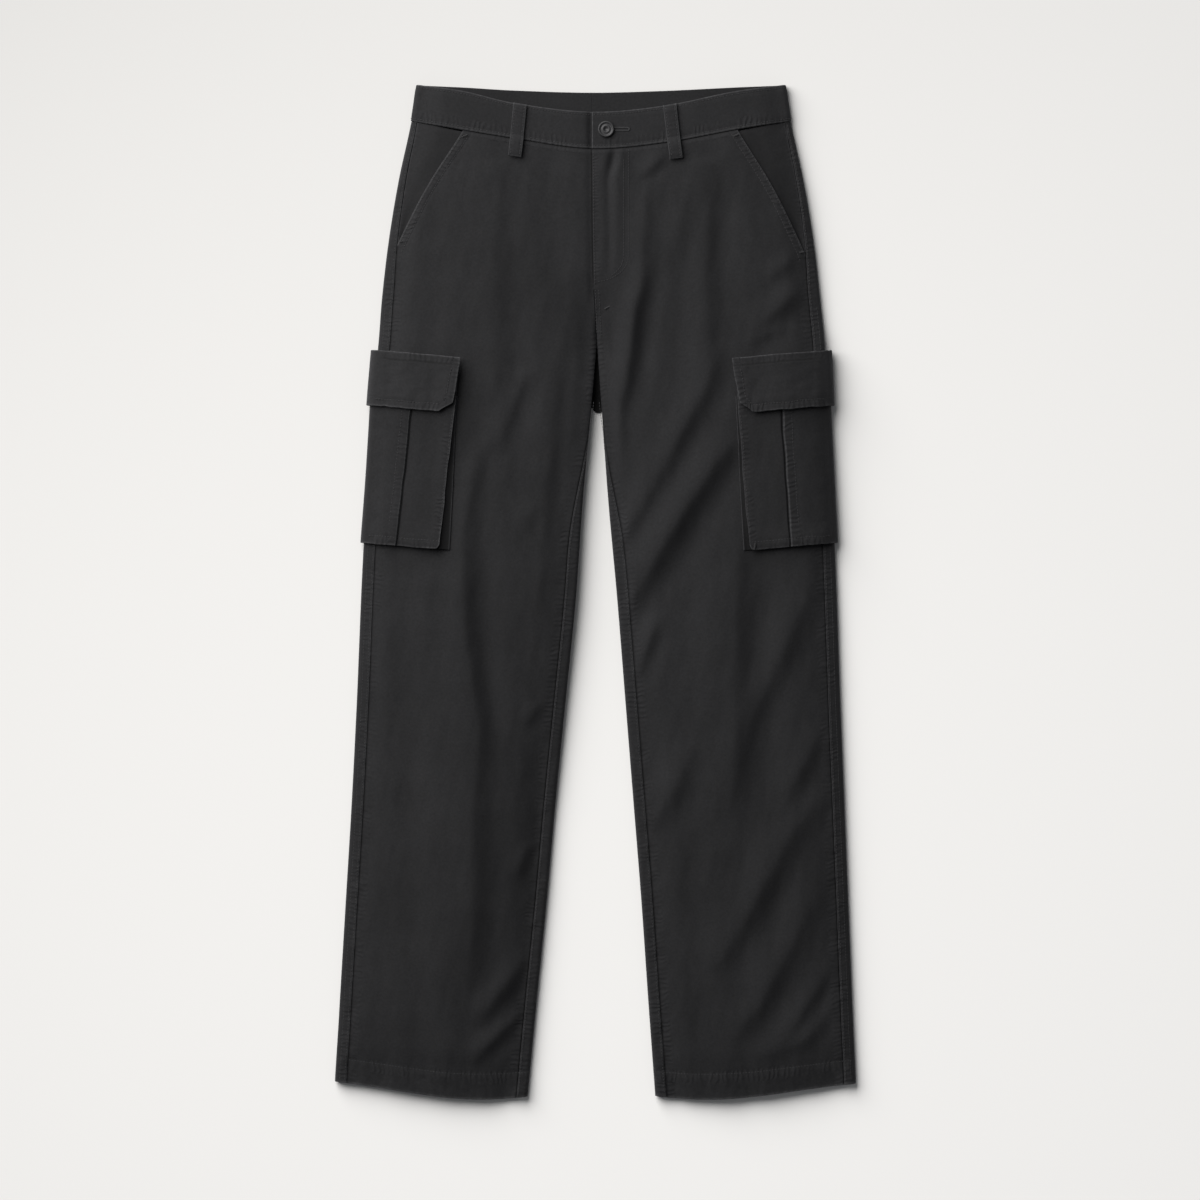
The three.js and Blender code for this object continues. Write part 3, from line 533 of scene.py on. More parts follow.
def make_mesh(name, vertices, faces, material, marks=None, sharp=40):
    mesh = bpy.data.meshes.new(name)
    vertices = np.asarray(vertices, float) * MM
    sizes = np.array([len(f) for f in faces])
    flat = np.concatenate([np.asarray(f) for f in faces])
    mesh.vertices.add(len(vertices))
    mesh.vertices.foreach_set("co", vertices.ravel())
    mesh.loops.add(len(flat))
    mesh.loops.foreach_set("vertex_index", flat.astype(np.int32))
    mesh.polygons.add(len(faces))
    mesh.polygons.foreach_set("loop_start", (np.cumsum(sizes) - sizes).astype(np.int32))
    mesh.update(calc_edges=True)
    mesh.polygons.foreach_set("use_smooth", np.ones(len(faces), bool))
    for k, mark in enumerate(MARKS if marks is not None else ()):
        layer = mesh.attributes.new(mark, "FLOAT", "POINT")
        layer.data.foreach_set("value", np.ascontiguousarray(marks[:, k], np.float32))
    mesh.validate()
    mesh.set_sharp_from_angle(angle=math.radians(sharp))
    mesh.materials.append(material)
    piece = bpy.data.objects.new(name, mesh)
    bpy.context.scene.collection.objects.link(piece)
    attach(piece, "root")
    return piece


def quads(a, b, c, d):
    return np.stack([a.ravel(), b.ravel(), c.ravel(), d.ravel()], axis=1)


def perimeter(rows, columns):
    """Indices of a grid's edge points, once round."""
    ids = np.arange(rows * columns).reshape(rows, columns)
    return np.concatenate([ids[0, :-1], ids[:-1, -1], ids[-1, :0:-1], ids[:0:-1, 0]])


def wall_parts(outer, inner, marks, thick):
    """Vertices, faces and marks of a closed wall of cloth between two grids, with rounded edges."""
    rows, columns = outer.shape[:2]
    away = np.zeros_like(outer)
    away[0] += outer[0] - outer[1]
    away[-1] += outer[-1] - outer[-2]
    away[:, 0] += outer[:, 0] - outer[:, 1]
    away[:, -1] += outer[:, -1] - outer[:, -2]
    length = np.linalg.norm(away, axis=-1, keepdims=True)
    away = away / np.maximum(length, 1e-9)
    ring = perimeter(rows, columns)
    away_ring = away.reshape(-1, 3)[ring]
    o = outer.reshape(-1, 3).copy()
    i = inner.reshape(-1, 3).copy()
    rim_high = mix(o[ring], i[ring], 0.28)
    rim_low = mix(o[ring], i[ring], 0.72)
    o[ring] -= away_ring * thick * 0.3
    i[ring] -= away_ring * thick * 0.3
    count = rows * columns
    ids = np.arange(count).reshape(rows, columns)
    a, b, c, d = ids[:-1, :-1], ids[:-1, 1:], ids[1:, 1:], ids[1:, :-1]
    high = 2 * count + np.arange(len(ring))
    low = high + len(ring)
    nxt = np.roll(np.arange(len(ring)), -1)
    faces = [quads(a, b, c, d), quads(d + count, c + count, b + count, a + count)]
    for one, two in ((ring, high), (high, low), (low, ring + count)):
        faces.append(quads(one[nxt], one, two, two[nxt]))
    faces = np.concatenate(faces)
    vertices = np.concatenate([o, i, rim_high, rim_low])
    v = vertices[faces]
    volume = np.einsum("ij,ij->", v[:, 0], np.cross(v[:, 1], v[:, 2]) + np.cross(v[:, 2], v[:, 3]))
    if volume < 0:
        faces = faces[:, ::-1]
    marks = np.stack([np.broadcast_to(mark, (rows, columns)).ravel() for mark in marks], axis=1)
    # The inner faces take a little painted shade
    return vertices, faces, np.concatenate([marks, 0 * marks + INSIDE_SHADE, marks[ring], marks[ring] * (0.6, 0.6, 1)])


def wall(name, outer, inner, marks, thick=WALL, extra=None):
    """A piece of cloth from its outer and inner grids, with a second small one where given."""
    vertices, faces, marked = wall_parts(outer, inner, marks, thick)
    if extra is not None:
        more, more_faces, more_marked = wall_parts(*extra, thick)
        faces = np.concatenate([faces, more_faces + len(vertices)])
        vertices, marked = np.concatenate([vertices, more]), np.concatenate([marked, more_marked])
    return make_mesh(name, vertices, faces, MATERIALS["twill"], marked)


def sewing(down, across, level, p):
    """Marks of seams that run down the garment and of those that run across it."""
    down, across, level, p = np.broadcast_arrays(down, across, level, p)
    return np.clip(np.maximum(down, across), 0, 1), np.where(across > down, p + 0.12 * level, level + 0.12 * p)


def cloth(name, leg, levels, p, out, thick, wear_and_shade=0.0, down=0.0, across=0.0, detail=1.0, extra=None):
    """A wall that follows the skin, its outer face this far out from it."""
    levels = np.asarray(levels, float).reshape(len(levels), -1)
    p = np.broadcast_to(p, (len(levels), p.shape[1]))
    levels = np.broadcast_to(levels, p.shape)
    points = skin(leg, levels, p, detail)
    n = normals(leg, points, levels, p)
    out = np.broadcast_to(np.asarray(out, float), p.shape)[..., None]
    marks = (np.clip(wear_and_shade, -1, 1), *sewing(down, across, levels, p))
    return wall(name, points + n * out, points + n * (out - thick), marks, thick, extra)


# Materials

def node_tree(name):
    material = bpy.data.materials.new(name)
    material.use_nodes = True
    tree = material.node_tree
    shader = next(n for n in tree.nodes if n.type == "BSDF_PRINCIPLED")
    return material, tree, shader


def add(tree, kind, inputs=None, **settings):
    node = tree.nodes.new(kind)
    for key, value in settings.items():
        setattr(node, key, value)
    for key, value in (inputs or {}).items():
        if hasattr(value, "is_output"):
            tree.links.new(value, node.inputs[key])
        else:
            node.inputs[key].default_value = value
    return node


def twill_material():
    """Washed black twill: diagonal weave, uneven dye, fuzz and paler worn edges, with painted shade where the marks
    fall below 0.
    """
    material, tree, shader = node_tree("twill")
    place = add(tree, "ShaderNodeTexCoord").outputs["Object"]
    patch = add(tree, "ShaderNodeTexNoise", {"Vector": place, "Scale": 14.0, "Detail": 4.0, "Roughness": 0.6})
    fleck = add(tree, "ShaderNodeTexNoise", {"Vector": place, "Scale": 420.0, "Detail": 3.0, "Roughness": 0.7})
    fray = add(tree, "ShaderNodeTexNoise", {"Vector": place, "Scale": 260.0, "Detail": 5.0, "Roughness": 0.75})
    dye = add(tree, "ShaderNodeMapRange", {
        "Value": patch.outputs["Fac"], "From Min": 0.3, "From Max": 0.7, "To Min": 0.86, "To Max": 1.12,
    })
    speck = add(tree, "ShaderNodeMapRange", {
        "Value": fleck.outputs["Fac"], "From Min": 0.25, "From Max": 0.75, "To Min": 0.72, "To Max": 1.28,
    })
    wear_and_shade = add(tree, "ShaderNodeAttribute", attribute_name="wear_and_shade")
    # Marks below 0 darken the cloth: painted shade
    deep = add(tree, "ShaderNodeMapRange", {
        "Value": wear_and_shade.outputs["Fac"], "From Min": -1.0, "From Max": 0.0, "To Min": 0.15, "To Max": 1.0,
    })
    shade = add(tree, "ShaderNodeMath", {0: dye.outputs[0], 1: speck.outputs[0]}, operation="MULTIPLY")
    shade = add(tree, "ShaderNodeMath", {0: shade.outputs[0], 1: deep.outputs[0]}, operation="MULTIPLY")
    base = add(tree, "ShaderNodeVectorMath", {
        0: (*CLOTH_COLOR,), "Scale": shade.outputs[0],
    }, operation="SCALE")
    rough = add(tree, "ShaderNodeMapRange", {
        "Value": fray.outputs["Fac"], "From Min": 0.38, "From Max": 0.66, "To Min": 0.25, "To Max": 1.0,
    })
    worn = add(tree, "ShaderNodeMath", {0: wear_and_shade.outputs["Fac"], 1: rough.outputs[0]}, operation="MULTIPLY")
    # Puckers: short ridges across each seam, uneven in spacing and strength
    seam = add(tree, "ShaderNodeAttribute", attribute_name="seam")
    run = add(tree, "ShaderNodeAttribute", attribute_name="run")
    sway = add(tree, "ShaderNodeTexNoise", {"Vector": place, "Scale": 75.0, "Detail": 1.0, "Roughness": 0.5})
    sway = add(tree, "ShaderNodeMath", {0: sway.outputs["Fac"], 1: 11.0}, operation="MULTIPLY")
    phase = add(tree, "ShaderNodeMath", {
        0: run.outputs["Fac"], 1: 2 * math.pi / PUCKER_PITCH, 2: sway.outputs[0],
    }, operation="MULTIPLY_ADD")
    ridge = add(tree, "ShaderNodeMath", {0: phase.outputs[0]}, operation="SINE")
    uneven = add(tree, "ShaderNodeTexNoise", {"Vector": place, "Scale": 48.0, "Detail": 1.0, "Roughness": 0.5})
    uneven = add(tree, "ShaderNodeMapRange", {
        "Value": uneven.outputs["Fac"], "From Min": 0.35, "From Max": 0.65, "To Min": 0.1, "To Max": 1.0,
    })
    tight = add(tree, "ShaderNodeMath", {0: seam.outputs["Fac"], 1: uneven.outputs[0]}, operation="MULTIPLY")
    gather = add(tree, "ShaderNodeMath", {0: tight.outputs[0], 1: ridge.outputs[0]}, operation="MULTIPLY")
    crest = add(tree, "ShaderNodeMapRange", {
        "Value": gather.outputs[0], "From Min": 0.3, "From Max": 1.0, "To Min": 0.0, "To Max": CREST_WEAR,
    })
    worn = add(tree, "ShaderNodeMath", {0: worn.outputs[0], 1: crest.outputs[0]}, operation="ADD", use_clamp=True)
    color = add(tree, "ShaderNodeMix", {
        "Factor": worn.outputs[0], "A": base.outputs[0], "B": (*WORN_COLOR, 1.0),
    }, data_type="RGBA")
    tree.links.new(base.outputs[0], color.inputs[6])
    color.inputs[7].default_value = (*WORN_COLOR, 1.0)
    tree.links.new(color.outputs[2], shader.inputs["Base Color"])
    turned = add(tree, "ShaderNodeMapping", {"Vector": place, "Rotation": (0, 0, math.radians(62))})
    rib = add(tree, "ShaderNodeTexWave", {
        "Vector": turned.outputs[0], "Scale": 360.0, "Distortion": 0.6, "Detail": 1.0,
    }, wave_type="BANDS", bands_direction="X")
    weave = add(tree, "ShaderNodeMath", {0: rib.outputs["Fac"], 1: fleck.outputs["Fac"]}, operation="ADD")
    bump = add(tree, "ShaderNodeBump", {"Height": weave.outputs[0], "Strength": 0.35, "Distance": 0.00022})
    grain = add(tree, "ShaderNodeBump", {
        "Height": fray.outputs["Fac"], "Strength": 0.25, "Distance": 0.0006, "Normal": bump.outputs[0],
    })
    puckers = add(tree, "ShaderNodeBump", {
        "Height": gather.outputs[0], "Strength": 1.0, "Distance": 0.00024, "Normal": grain.outputs[0],
    })
    tree.links.new(puckers.outputs[0], shader.inputs["Normal"])
    shader.inputs["Roughness"].default_value = 0.88
    shader.inputs["Specular IOR Level"].default_value = 0.18
    shader.inputs["Sheen Weight"].default_value = 0.06
    shader.inputs["Sheen Roughness"].default_value = 0.5
    shader.inputs["Sheen Tint"].default_value = (0.9, 0.9, 1.0, 1.0)
    return material


def thread_material():
    """Twisted thread, a shade off the cloth."""
    material, tree, shader = node_tree("thread")
    place = add(tree, "ShaderNodeTexCoord").outputs["Object"]
    noise = add(tree, "ShaderNodeTexNoise", {"Vector": place, "Scale": 500.0, "Detail": 2.0})
    ramp = add(tree, "ShaderNodeValToRGB", {"Fac": noise.outputs["Fac"]})
    ramp.color_ramp.elements[0].color = (*[0.8 * c for c in THREAD_COLOR], 1)
    ramp.color_ramp.elements[1].color = (*[1.3 * c for c in THREAD_COLOR], 1)
    tree.links.new(ramp.outputs["Color"], shader.inputs["Base Color"])
    twist = add(tree, "ShaderNodeTexWave", {"Vector": place, "Scale": 900.0}, bands_direction="DIAGONAL")
    bump = add(tree, "ShaderNodeBump", {"Height": twist.outputs["Fac"], "Strength": 0.3, "Distance": 0.0001})
    tree.links.new(bump.outputs[0], shader.inputs["Normal"])
    shader.inputs["Roughness"].default_value = 0.6
    shader.inputs["Specular IOR Level"].default_value = 0.3
    return material


def button_material():
    """Satin black resin with fine turning marks."""
    material, tree, shader = node_tree("button")
    place = add(tree, "ShaderNodeTexCoord").outputs["Object"]
    noise = add(tree, "ShaderNodeTexNoise", {"Vector": place, "Scale": 300.0, "Detail": 4.0})
    ramp = add(tree, "ShaderNodeValToRGB", {"Fac": noise.outputs["Fac"]})
    ramp.color_ramp.elements[0].color = (0.012, 0.012, 0.013, 1)
    ramp.color_ramp.elements[1].color = (0.03, 0.03, 0.032, 1)
    tree.links.new(ramp.outputs["Color"], shader.inputs["Base Color"])
    bump = add(tree, "ShaderNodeBump", {"Height": noise.outputs["Fac"], "Strength": 0.15, "Distance": 0.0002})
    tree.links.new(bump.outputs[0], shader.inputs["Normal"])
    shader.inputs["Roughness"].default_value = 0.5
    shader.inputs["Specular IOR Level"].default_value = 0.3
    return material


CLOTH_COLOR = (0.0112, 0.0112, 0.012)
WORN_COLOR = (0.058, 0.058, 0.061)
THREAD_COLOR = (0.023, 0.023, 0.0245)
PUCKER_PITCH = 5.4
CREST_WEAR = 0.08
INSIDE_SHADE = (-0.1, 0.0, 0.0)  # painted shade: the cloth's inner face is drawn a little darker
MATERIALS = {"twill": twill_material(), "thread": thread_material(), "button": button_material()}

# Pieces

PITCH = 2.6  # rows
COLUMN_PITCH = 2.6
EDGE_WEAR = 0.7
# painted shade in the grooves of seams
GROOVE_SHADE = 1.3


def edge_wear(distance, width=1.6):
    return EDGE_WEAR * np.exp(-(np.abs(distance) / (0.75 * width)) ** 2)


def groove_shade(distance, width=1.1):
    """Painted shade in a groove along a seam or fold."""
    return GROOVE_SHADE * np.exp(-(distance / width) ** 2)


def sewn(distance, width=8.5):
    """1 within a sewn strip along an edge, fading out past it."""
    return smooth((width + 2.5 - distance) / 3)


def leg_levels(top, bottom):
    return np.concatenate([[top, top - 1], steps(top - 2.2, bottom, PITCH)])


def front_panel(leg):
    levels = column(leg_levels(SEAM_LEVEL - HALF_GAP, HEM_LEVEL))
    side_x, width, face = leg_at(leg, levels)
    share = np.clip((levels - FLY_NONE) / (FLY_FULL - FLY_NONE), 0, 1) * (leg is RIGHT)
    start = front_start(leg, levels)
    end = face - inseam(levels) - HALF_GAP
    tail = 18.0
    near = start + np.concatenate([np.linspace(0, 3, 7), np.linspace(4.2, 12, 6)])
    count = int(round(200 / COLUMN_PITCH))
    middle = between(start + 12, end - tail, count)[:, 1:-1]
    plain = end - np.concatenate([np.linspace(tail, 3, 10), [2.2, 1.4, 0.7, 0]])
    lapped = face + np.concatenate([np.linspace(-tail, -3, 6), [-2, -1.2, -0.4, 0.4, 2, 5, 8, FLY_UNDERLAP]])
    p = np.concatenate([near, middle, mix(plain, lapped, share)], axis=1)
    side = np.where(levels > leg.slant_end, 1, 0.4)
    wear_and_shade = side * edge_wear(p - start) + edge_wear(levels - HEM_LEVEL, 2.2) + edge_wear(levels - SEAM_LEVEL, 1.2) * 0.1
    wear_and_shade = wear_and_shade + edge_wear(p - end - 2.6, 1.2) * 0.4
    # Painted shade in the lines of the side seam, the waist seam, the inseam and the fly's edge
    wear_and_shade = wear_and_shade - groove_shade(p - start) * (levels < leg.slant_end) - groove_shade(levels - SEAM_LEVEL)
    wear_and_shade = wear_and_shade - groove_shade(p - end) * (levels < FORK_LEVEL) - 1.2 * groove_shade(p - face + 0.6) * share
    down = np.maximum(
        sewn(p - start) * np.where(levels > leg.slant_end, 1, 0.6),
        sewn(end - p, 8) * np.where(levels < FORK_LEVEL + 30, 0.8, 0.6 * (leg is LEFT)),
    )
    across = np.maximum(sewn(SEAM_LEVEL - levels, 5) * 0.5, sewn(np.abs(levels - HEM_LEVEL - HEM_FOLD + 4), 6) * 0.9)
    return cloth(f"front_{leg.name}_cloth", leg, levels, p, 0.0, WALL, wear_and_shade, down, across)


def back_panel(leg):
    levels = column(leg_levels(SEAM_LEVEL - HALF_GAP, HEM_LEVEL))
    side_x, width, face = leg_at(leg, levels)
    side = side_seam(levels)
    end = -(face + inseam(levels) - HALF_GAP)
    strip = between(side, ARC + 0 * side, 8)[:, :-1]
    fold = np.linspace(ARC, -ARC, 13) + 0 * levels
    flat = between(-ARC + 0 * levels, ARC - face, int(round(200 / (2 * COLUMN_PITCH))))[:, 1:-1]
    inner = between(ARC - face, end, 18)
    p = np.concatenate([strip, fold, flat, inner], axis=1)
    wear_and_shade = 0.45 * edge_wear(p - side) + edge_wear(levels - HEM_LEVEL, 2.2) + 0.35 * edge_wear(p, 3.0)
    # Along the inner fold's edge: paler wear on the left leg, painted shade on the right
    wear_and_shade = wear_and_shade + (0.4 * edge_wear(p - end) + INNER_WEAR_AND_SHADE[leg.name] * edge_wear(p + face, 3.0)) * (levels < FORK_LEVEL)
    # Painted shade in the line of the waist seam
    wear_and_shade = wear_and_shade - 0.6 * groove_shade(levels - SEAM_LEVEL)
    extra = seat_fold() if leg is RIGHT else None
    down = np.maximum(sewn(side - p, 8) * 0.9, sewn(p - end, 10) * 0.8)
    across = np.maximum(sewn(SEAM_LEVEL - levels, 5) * 0.5, sewn(np.abs(levels - HEM_LEVEL - HEM_FOLD + 4), 6) * 0.9)
    return cloth(f"back_{leg.name}_cloth", leg, levels, p, 0.0, WALL, wear_and_shade, down, across, extra=extra)


def seat_fold():
    """The seat's lowest edge, deep between the legs under the fork: its two faces, and marks that paint it in full
    shade.
    """
    t = np.linspace(0, 1, 24)
    y = mix(272.0, SEAT_END, t)
    left, right = read(INNER_FOLDS, "y", "left", y), read(INNER_FOLDS, "y", "right", y)
    across = np.linspace(0, 1, 9)
    x = mix(column(right) - SEAT_TUCK, column(left) + SEAT_TUCK, across)
    z = 1.9 + 0 * x
    low = column(y) - 5 * column(t) * (across - 0.2) - 4 * column(t) * (1 - (2 * across - 1) ** 2)
    top = np.stack([x, low, z], axis=-1)
    # Painted full shade on the seat between the legs
    return top, top - np.array([0, 0, WALL]), (-1.0, 0.0, 0.0)


def pocket_facing(leg):
    levels = column(leg_levels(SEAM_LEVEL - HALF_GAP, leg.slant_end - 14))
    start = side_seam(levels) + GAP
    # Painted shade in the pocket's mouth, darkest at the slanted edge
    p = between(start, np.maximum(start + 12, slant_edge(leg, levels) + 14), 26)
    wear_and_shade = edge_wear(p - start, 1.2) * 0.6
    across = (p - start) / np.maximum(slant_edge(leg, levels) - start, 6)
    wear_and_shade = wear_and_shade - 0.36 * smooth(across * 1.2) - 0.08
    out = mix(-0.2, -WALL - 0.9, smooth(across * 1.3))
    return cloth(f"pocket_facing_{leg.name}_cloth", leg, levels, p, out, 1.0, wear_and_shade, sewn(p - start, 3) * 0.5, detail=0.3)


def waistband(leg):
    levels = column(steps(SEAM_LEVEL + HALF_GAP, TOP, min(PITCH, 2.0)))
    side_x, width, face = leg_at(leg, levels)
    back = between(-0.5 - face, -ARC + 0 * face, 60)[:, :-1]
    fold = np.linspace(-ARC, ARC, 11) + 0 * levels
    front = between(ARC + 0 * face, face - 10, 84)[:, 1:]
    if leg is RIGHT:
        ends = face + np.concatenate([np.linspace(-9, 0, 10), np.linspace(2, BAND_UNDERLAP, 14)])
    else:
        ends = face + np.linspace(-9, 0, 8)
    p = np.concatenate([back, fold, front, ends], axis=1)
    above = levels - SEAM_LEVEL
    rim = np.minimum(above, BAND_HEIGHT - above)
    belly = 0.5 * smooth(rim / 7) - 0.35 * np.exp(-((rim - 3) / 1.3) ** 2)
    out = (BAND_PROUD + BAND_PUFF + belly) * smooth((p + ARC) / (2 * ARC))
    wear_and_shade = 0.35 * edge_wear(above, 1.0) + 0.75 * edge_wear(BAND_HEIGHT - above, 1.1)
    wear_and_shade = wear_and_shade + (0.8 * edge_wear(p - face, 1.3) if leg is LEFT else 0)
    across = np.maximum(sewn(above, 10) * 0.9, sewn(BAND_HEIGHT - above, 2) * 0.4)
    return cloth(f"waistband_{leg.name}_cloth", leg, levels, p, out, BAND_WALL, wear_and_shade, 0.0, across, 0.8)


def pocket_share(level):
    return np.clip((FLAP_END - level) / (FLAP_END - POCKET_END), 0, 1)


def front_edge(leg, level):
    return round_from(mix(leg.pocket_top, leg.pocket_bottom, pocket_share(level)))


def pleat(leg, level):
    return round_from(mix(leg.pleat_top, leg.pleat_bottom, pocket_share(level)))


def patch_out(leg, level, p):
    """Distance of the pocket's outer face from the leg."""
    on_front = smooth((p + ARC) / ARC)
    past = p - pleat(leg, level)
    step = PLEAT_STEP * smooth((0.5 - past) / 1.0) * smooth((p - ARC) / 14)
    slot = 1.2 * np.exp(-((past - 1.1) / 0.9) ** 2)
    return mix(LAYER_GAP, PATCH_FRONT, on_front) + step - slot + fullness(leg, level, p) + PATCH_WALL


def fullness(leg, level, p):
    """How much further out than the solid's a pocket and its flap stand."""
    rise = EDGE_RISE[leg.name] * smooth((p - front_edge(leg, level) + EDGE_RUN) / EDGE_RUN)
    return BULGE * smooth((p - ARC) / BULGE_RUN[leg.name]) + rise


def cargo_pocket(leg):
    t = (PATCH_TOP - column(steps(PATCH_TOP, POCKET_END, min(PITCH, 2.2)))) / (PATCH_TOP - POCKET_END)
    levels = mix(PATCH_TOP, POCKET_END, t)
    edge, fold_line = front_edge(leg, levels), pleat(leg, levels)
    front = between(edge, fold_line + 4, 22)
    groove = between(fold_line + 3.5, fold_line - 3.5, 20)
    outer = between(fold_line - 4, ARC + 0 * edge, 16)
    fold = np.linspace(ARC, -ARC, 11)[1:] + 0 * levels
    under = between(-ARC + 0 * edge, -POCKET_UNDER + 0 * edge, 14)[:, 1:]
    p = np.concatenate([front, groove, outer, fold, under], axis=1)
    in_corner = np.clip(POCKET_CORNER - (edge - p), 0, POCKET_CORNER)
    corner = POCKET_CORNER - np.sqrt(POCKET_CORNER ** 2 - in_corner ** 2)
    levels = levels + corner * t
    above = levels - POCKET_END - corner
    out = patch_out(leg, levels, p)
    visible = smooth((p - ARC) / 10)
    out = out + visible * (0.7 * smooth(above / 6) - 0.3) * smooth((edge - p) / 5)
    out = out + visible * POCKET_TIP * smooth((30 - above) / 30)
    out = out - visible * 0.4 * np.exp(-((above - 8.4) / 1.4) ** 2)
    out = out - visible * 0.3 * smooth((4 - above) / 4) * smooth((edge - 14 - p) / 4)
    out = out - visible * 0.35 * np.exp(-((p - fold_line + 8.4) / 1.4) ** 2)
    wear_and_shade = edge_wear(p - edge, 1.8) * (0.5 if leg is LEFT else 1) + edge_wear(above, 1.8)
    # Painted shade in the slot beside the pleat's fold
    wear_and_shade = wear_and_shade + edge_wear(p - fold_line + 0.3, 1.1) * 0.8 - 0.9 * groove_shade(p - fold_line - 1.5, 0.9)
    # The whole pocket takes a little painted shade
    wear_and_shade = wear_and_shade + 0.5 * edge_wear(p, 4.0) + POCKET_SHADE[leg.name]
    down = np.maximum(sewn(edge - p, 7.5), sewn(np.where(p < fold_line + 1, fold_line - p, 20)) * 0.9)
    return cloth(f"cargo_pocket_{leg.name}_cloth", leg, levels, p, out, PATCH_WALL, wear_and_shade, down, sewn(above) * 0.9)


def cargo_gusset(leg):
    levels = column(steps(FLAP_END + 18, POCKET_END + 0.5, min(PITCH, 3.0)))
    edge = front_edge(leg, levels)
    p = between(edge - 12, edge + mix(1.5, leg.bellows, pocket_share(levels)), 14)
    beyond = np.clip((p - edge) / np.maximum(p[:, -1:] - edge, 1), 0, 1)
    high = PATCH_FRONT + fullness(leg, levels, np.minimum(p, edge)) - 0.5
    sloping = mix(high, GAP + GUSSET_WALL, 1 - (1 - beyond) ** 1.6)
    flat = GAP + GUSSET_WALL - 0.6 * np.sin(np.pi * beyond)
    out = sloping if leg is RIGHT else flat
    # Painted shade over the bellows, with a paler worn line at its far edge
    wear_and_shade = edge_wear(p - p[:, -1:], 1.2) * 0.7 + BELLOWS_SHADE[leg.name] * smooth((p[:, -1:] - p) / 2)
    return cloth(f"cargo_gusset_{leg.name}_cloth", leg, levels, p, out, 1.3, wear_and_shade)


def flap_rise(leg, p):
    """How far the flap's clipped corner rises above its lower edge."""
    edge = round_from(leg.flap)
    return np.clip((p - edge + FLAP_CLIP) / FLAP_CLIP, 0, 1) * FLAP_CLIP * 0.8


def flap_lean(leg, level, p):
    """How far a point of the flap lies back from its column, as its front edge leans."""
    return FLAP_LEAN * (FLAP_TOP - level) / (FLAP_TOP - FLAP_END) * smooth(p / round_from(leg.flap))


def cargo_flap(leg):
    edge = round_from(leg.flap)
    front = np.concatenate([np.linspace(edge, edge - FLAP_CLIP - 3, 12), np.linspace(edge - FLAP_CLIP - 6, ARC, 24)])
    p = np.concatenate([front, np.linspace(ARC, -ARC, 11)[1:], np.linspace(-ARC, -POCKET_UNDER - 1, 16)[1:]])
    p = p.reshape(1, -1)
    t = column(np.concatenate([np.linspace(0, 0.22, 14), np.linspace(0.25, 1, 27)]))
    levels = mix(FLAP_TOP, FLAP_END + flap_rise(leg, p), t)
    p = np.broadcast_to(p, levels.shape)
    leaning = p - flap_lean(leg, levels, p)
    points = skin(leg, levels, leaning)
    n = normals(leg, points, levels, p)
    on_front = smooth((p + ARC) / ARC)
    visible = smooth((p - ARC) / 10)
    out = mix(LAYER_GAP, PATCH_FRONT + PLEAT_STEP, on_front) + PATCH_WALL + LAYER_GAP + FLAP_WALL
    out = out + fullness(leg, np.minimum(levels, FLAP_END), p)
    lower = (levels - FLAP_END - flap_rise(leg, p))
    to_rim = np.minimum(lower, edge - p)
    header = FLAP_TOP - levels
    out = out + visible * (0.5 - 0.4 * np.exp(-((to_rim - 7.4) / 1.4) ** 2) + FLAP_TIP[leg.name] * smooth((34 - lower) / 34))
    pressed = 1.4 + 0.6 * EDGE_RISE[leg.name] * smooth((p - edge + EDGE_RUN) / EDGE_RUN)
    out = out - visible * (pressed * smooth((9.5 - header) / 4) + 0.7 * np.exp(-((header - 8.0) / 1.0) ** 2))
    out = out + visible * 0.16 * PUCKER(points[..., 0], points[..., 1])
    wear_and_shade = edge_wear(to_rim, 1.8) * (0.75 if leg is LEFT else 1) + edge_wear(header, 1.3)
    # Painted light on the right flap, and painted shade in the line under the header
    wear_and_shade = wear_and_shade + 0.5 * edge_wear(p, 4.0) + FLAP_PAINTED_LIGHT[leg.name] - 0.6 * groove_shade(header - 8.2) * visible
    out = out[..., None]
    thick = FLAP_WALL * mix(1.0, 0.7, smooth((7 - header) / 7))[..., None]
    marks = (np.clip(wear_and_shade, -1, 1), *sewing(sewn(edge - p, 7.5), np.maximum(sewn(lower, 7.5), sewn(header, 7) * 0.6), levels, p))
    return wall(f"cargo_flap_{leg.name}_cloth", points + n * out, points + n * (out - thick), marks, FLAP_WALL)


def belt_loop(name, leg, levels, centre, out, under):
    levels = column(levels)
    across = np.linspace(-1, 1, 13).reshape(1, -1)
    p = column(centre) + across * LOOP_WIDTH / 2
    ends = smooth(np.minimum(levels[0, 0] - levels, levels - levels[-1, 0]) / 5)
    groove = -0.3 * np.exp(-((np.abs(across) - 0.68) / 0.1) ** 2)
    crown = groove + 0.25 * (1 - across ** 2) + (0 if under else 1.0 * (ends - 0.6))
    to_end = np.minimum(levels[0, 0] - levels, levels - levels[-1, 0])
    wear_and_shade = 0.6 * edge_wear((1 - np.abs(across)) * LOOP_WIDTH / 2, 1.3) + 0.8 * edge_wear(to_end, 1.2)
    height = out + (0 * levels if under else 0) + (0 if under else 1) * crown
    return cloth(name, leg, levels, p, height, LOOP_WALL, wear_and_shade, 0.4, detail=0.3)


def front_loop(leg):
    bottom = SEAM_LEVEL - 21.2
    levels = steps(TOP, bottom, 2.4)
    side_x = leg_at(leg, levels)[0]
    x = mix(leg.loop_top, leg.loop_bottom, (TOP - levels) / (TOP - bottom))
    centre = round_from(np.abs(x - side_x))
    return belt_loop(f"belt_loop_front_{leg.name}_cloth", leg, levels, centre, BAND_PROUD + LOOP_WALL + LOOP_RISE, False)


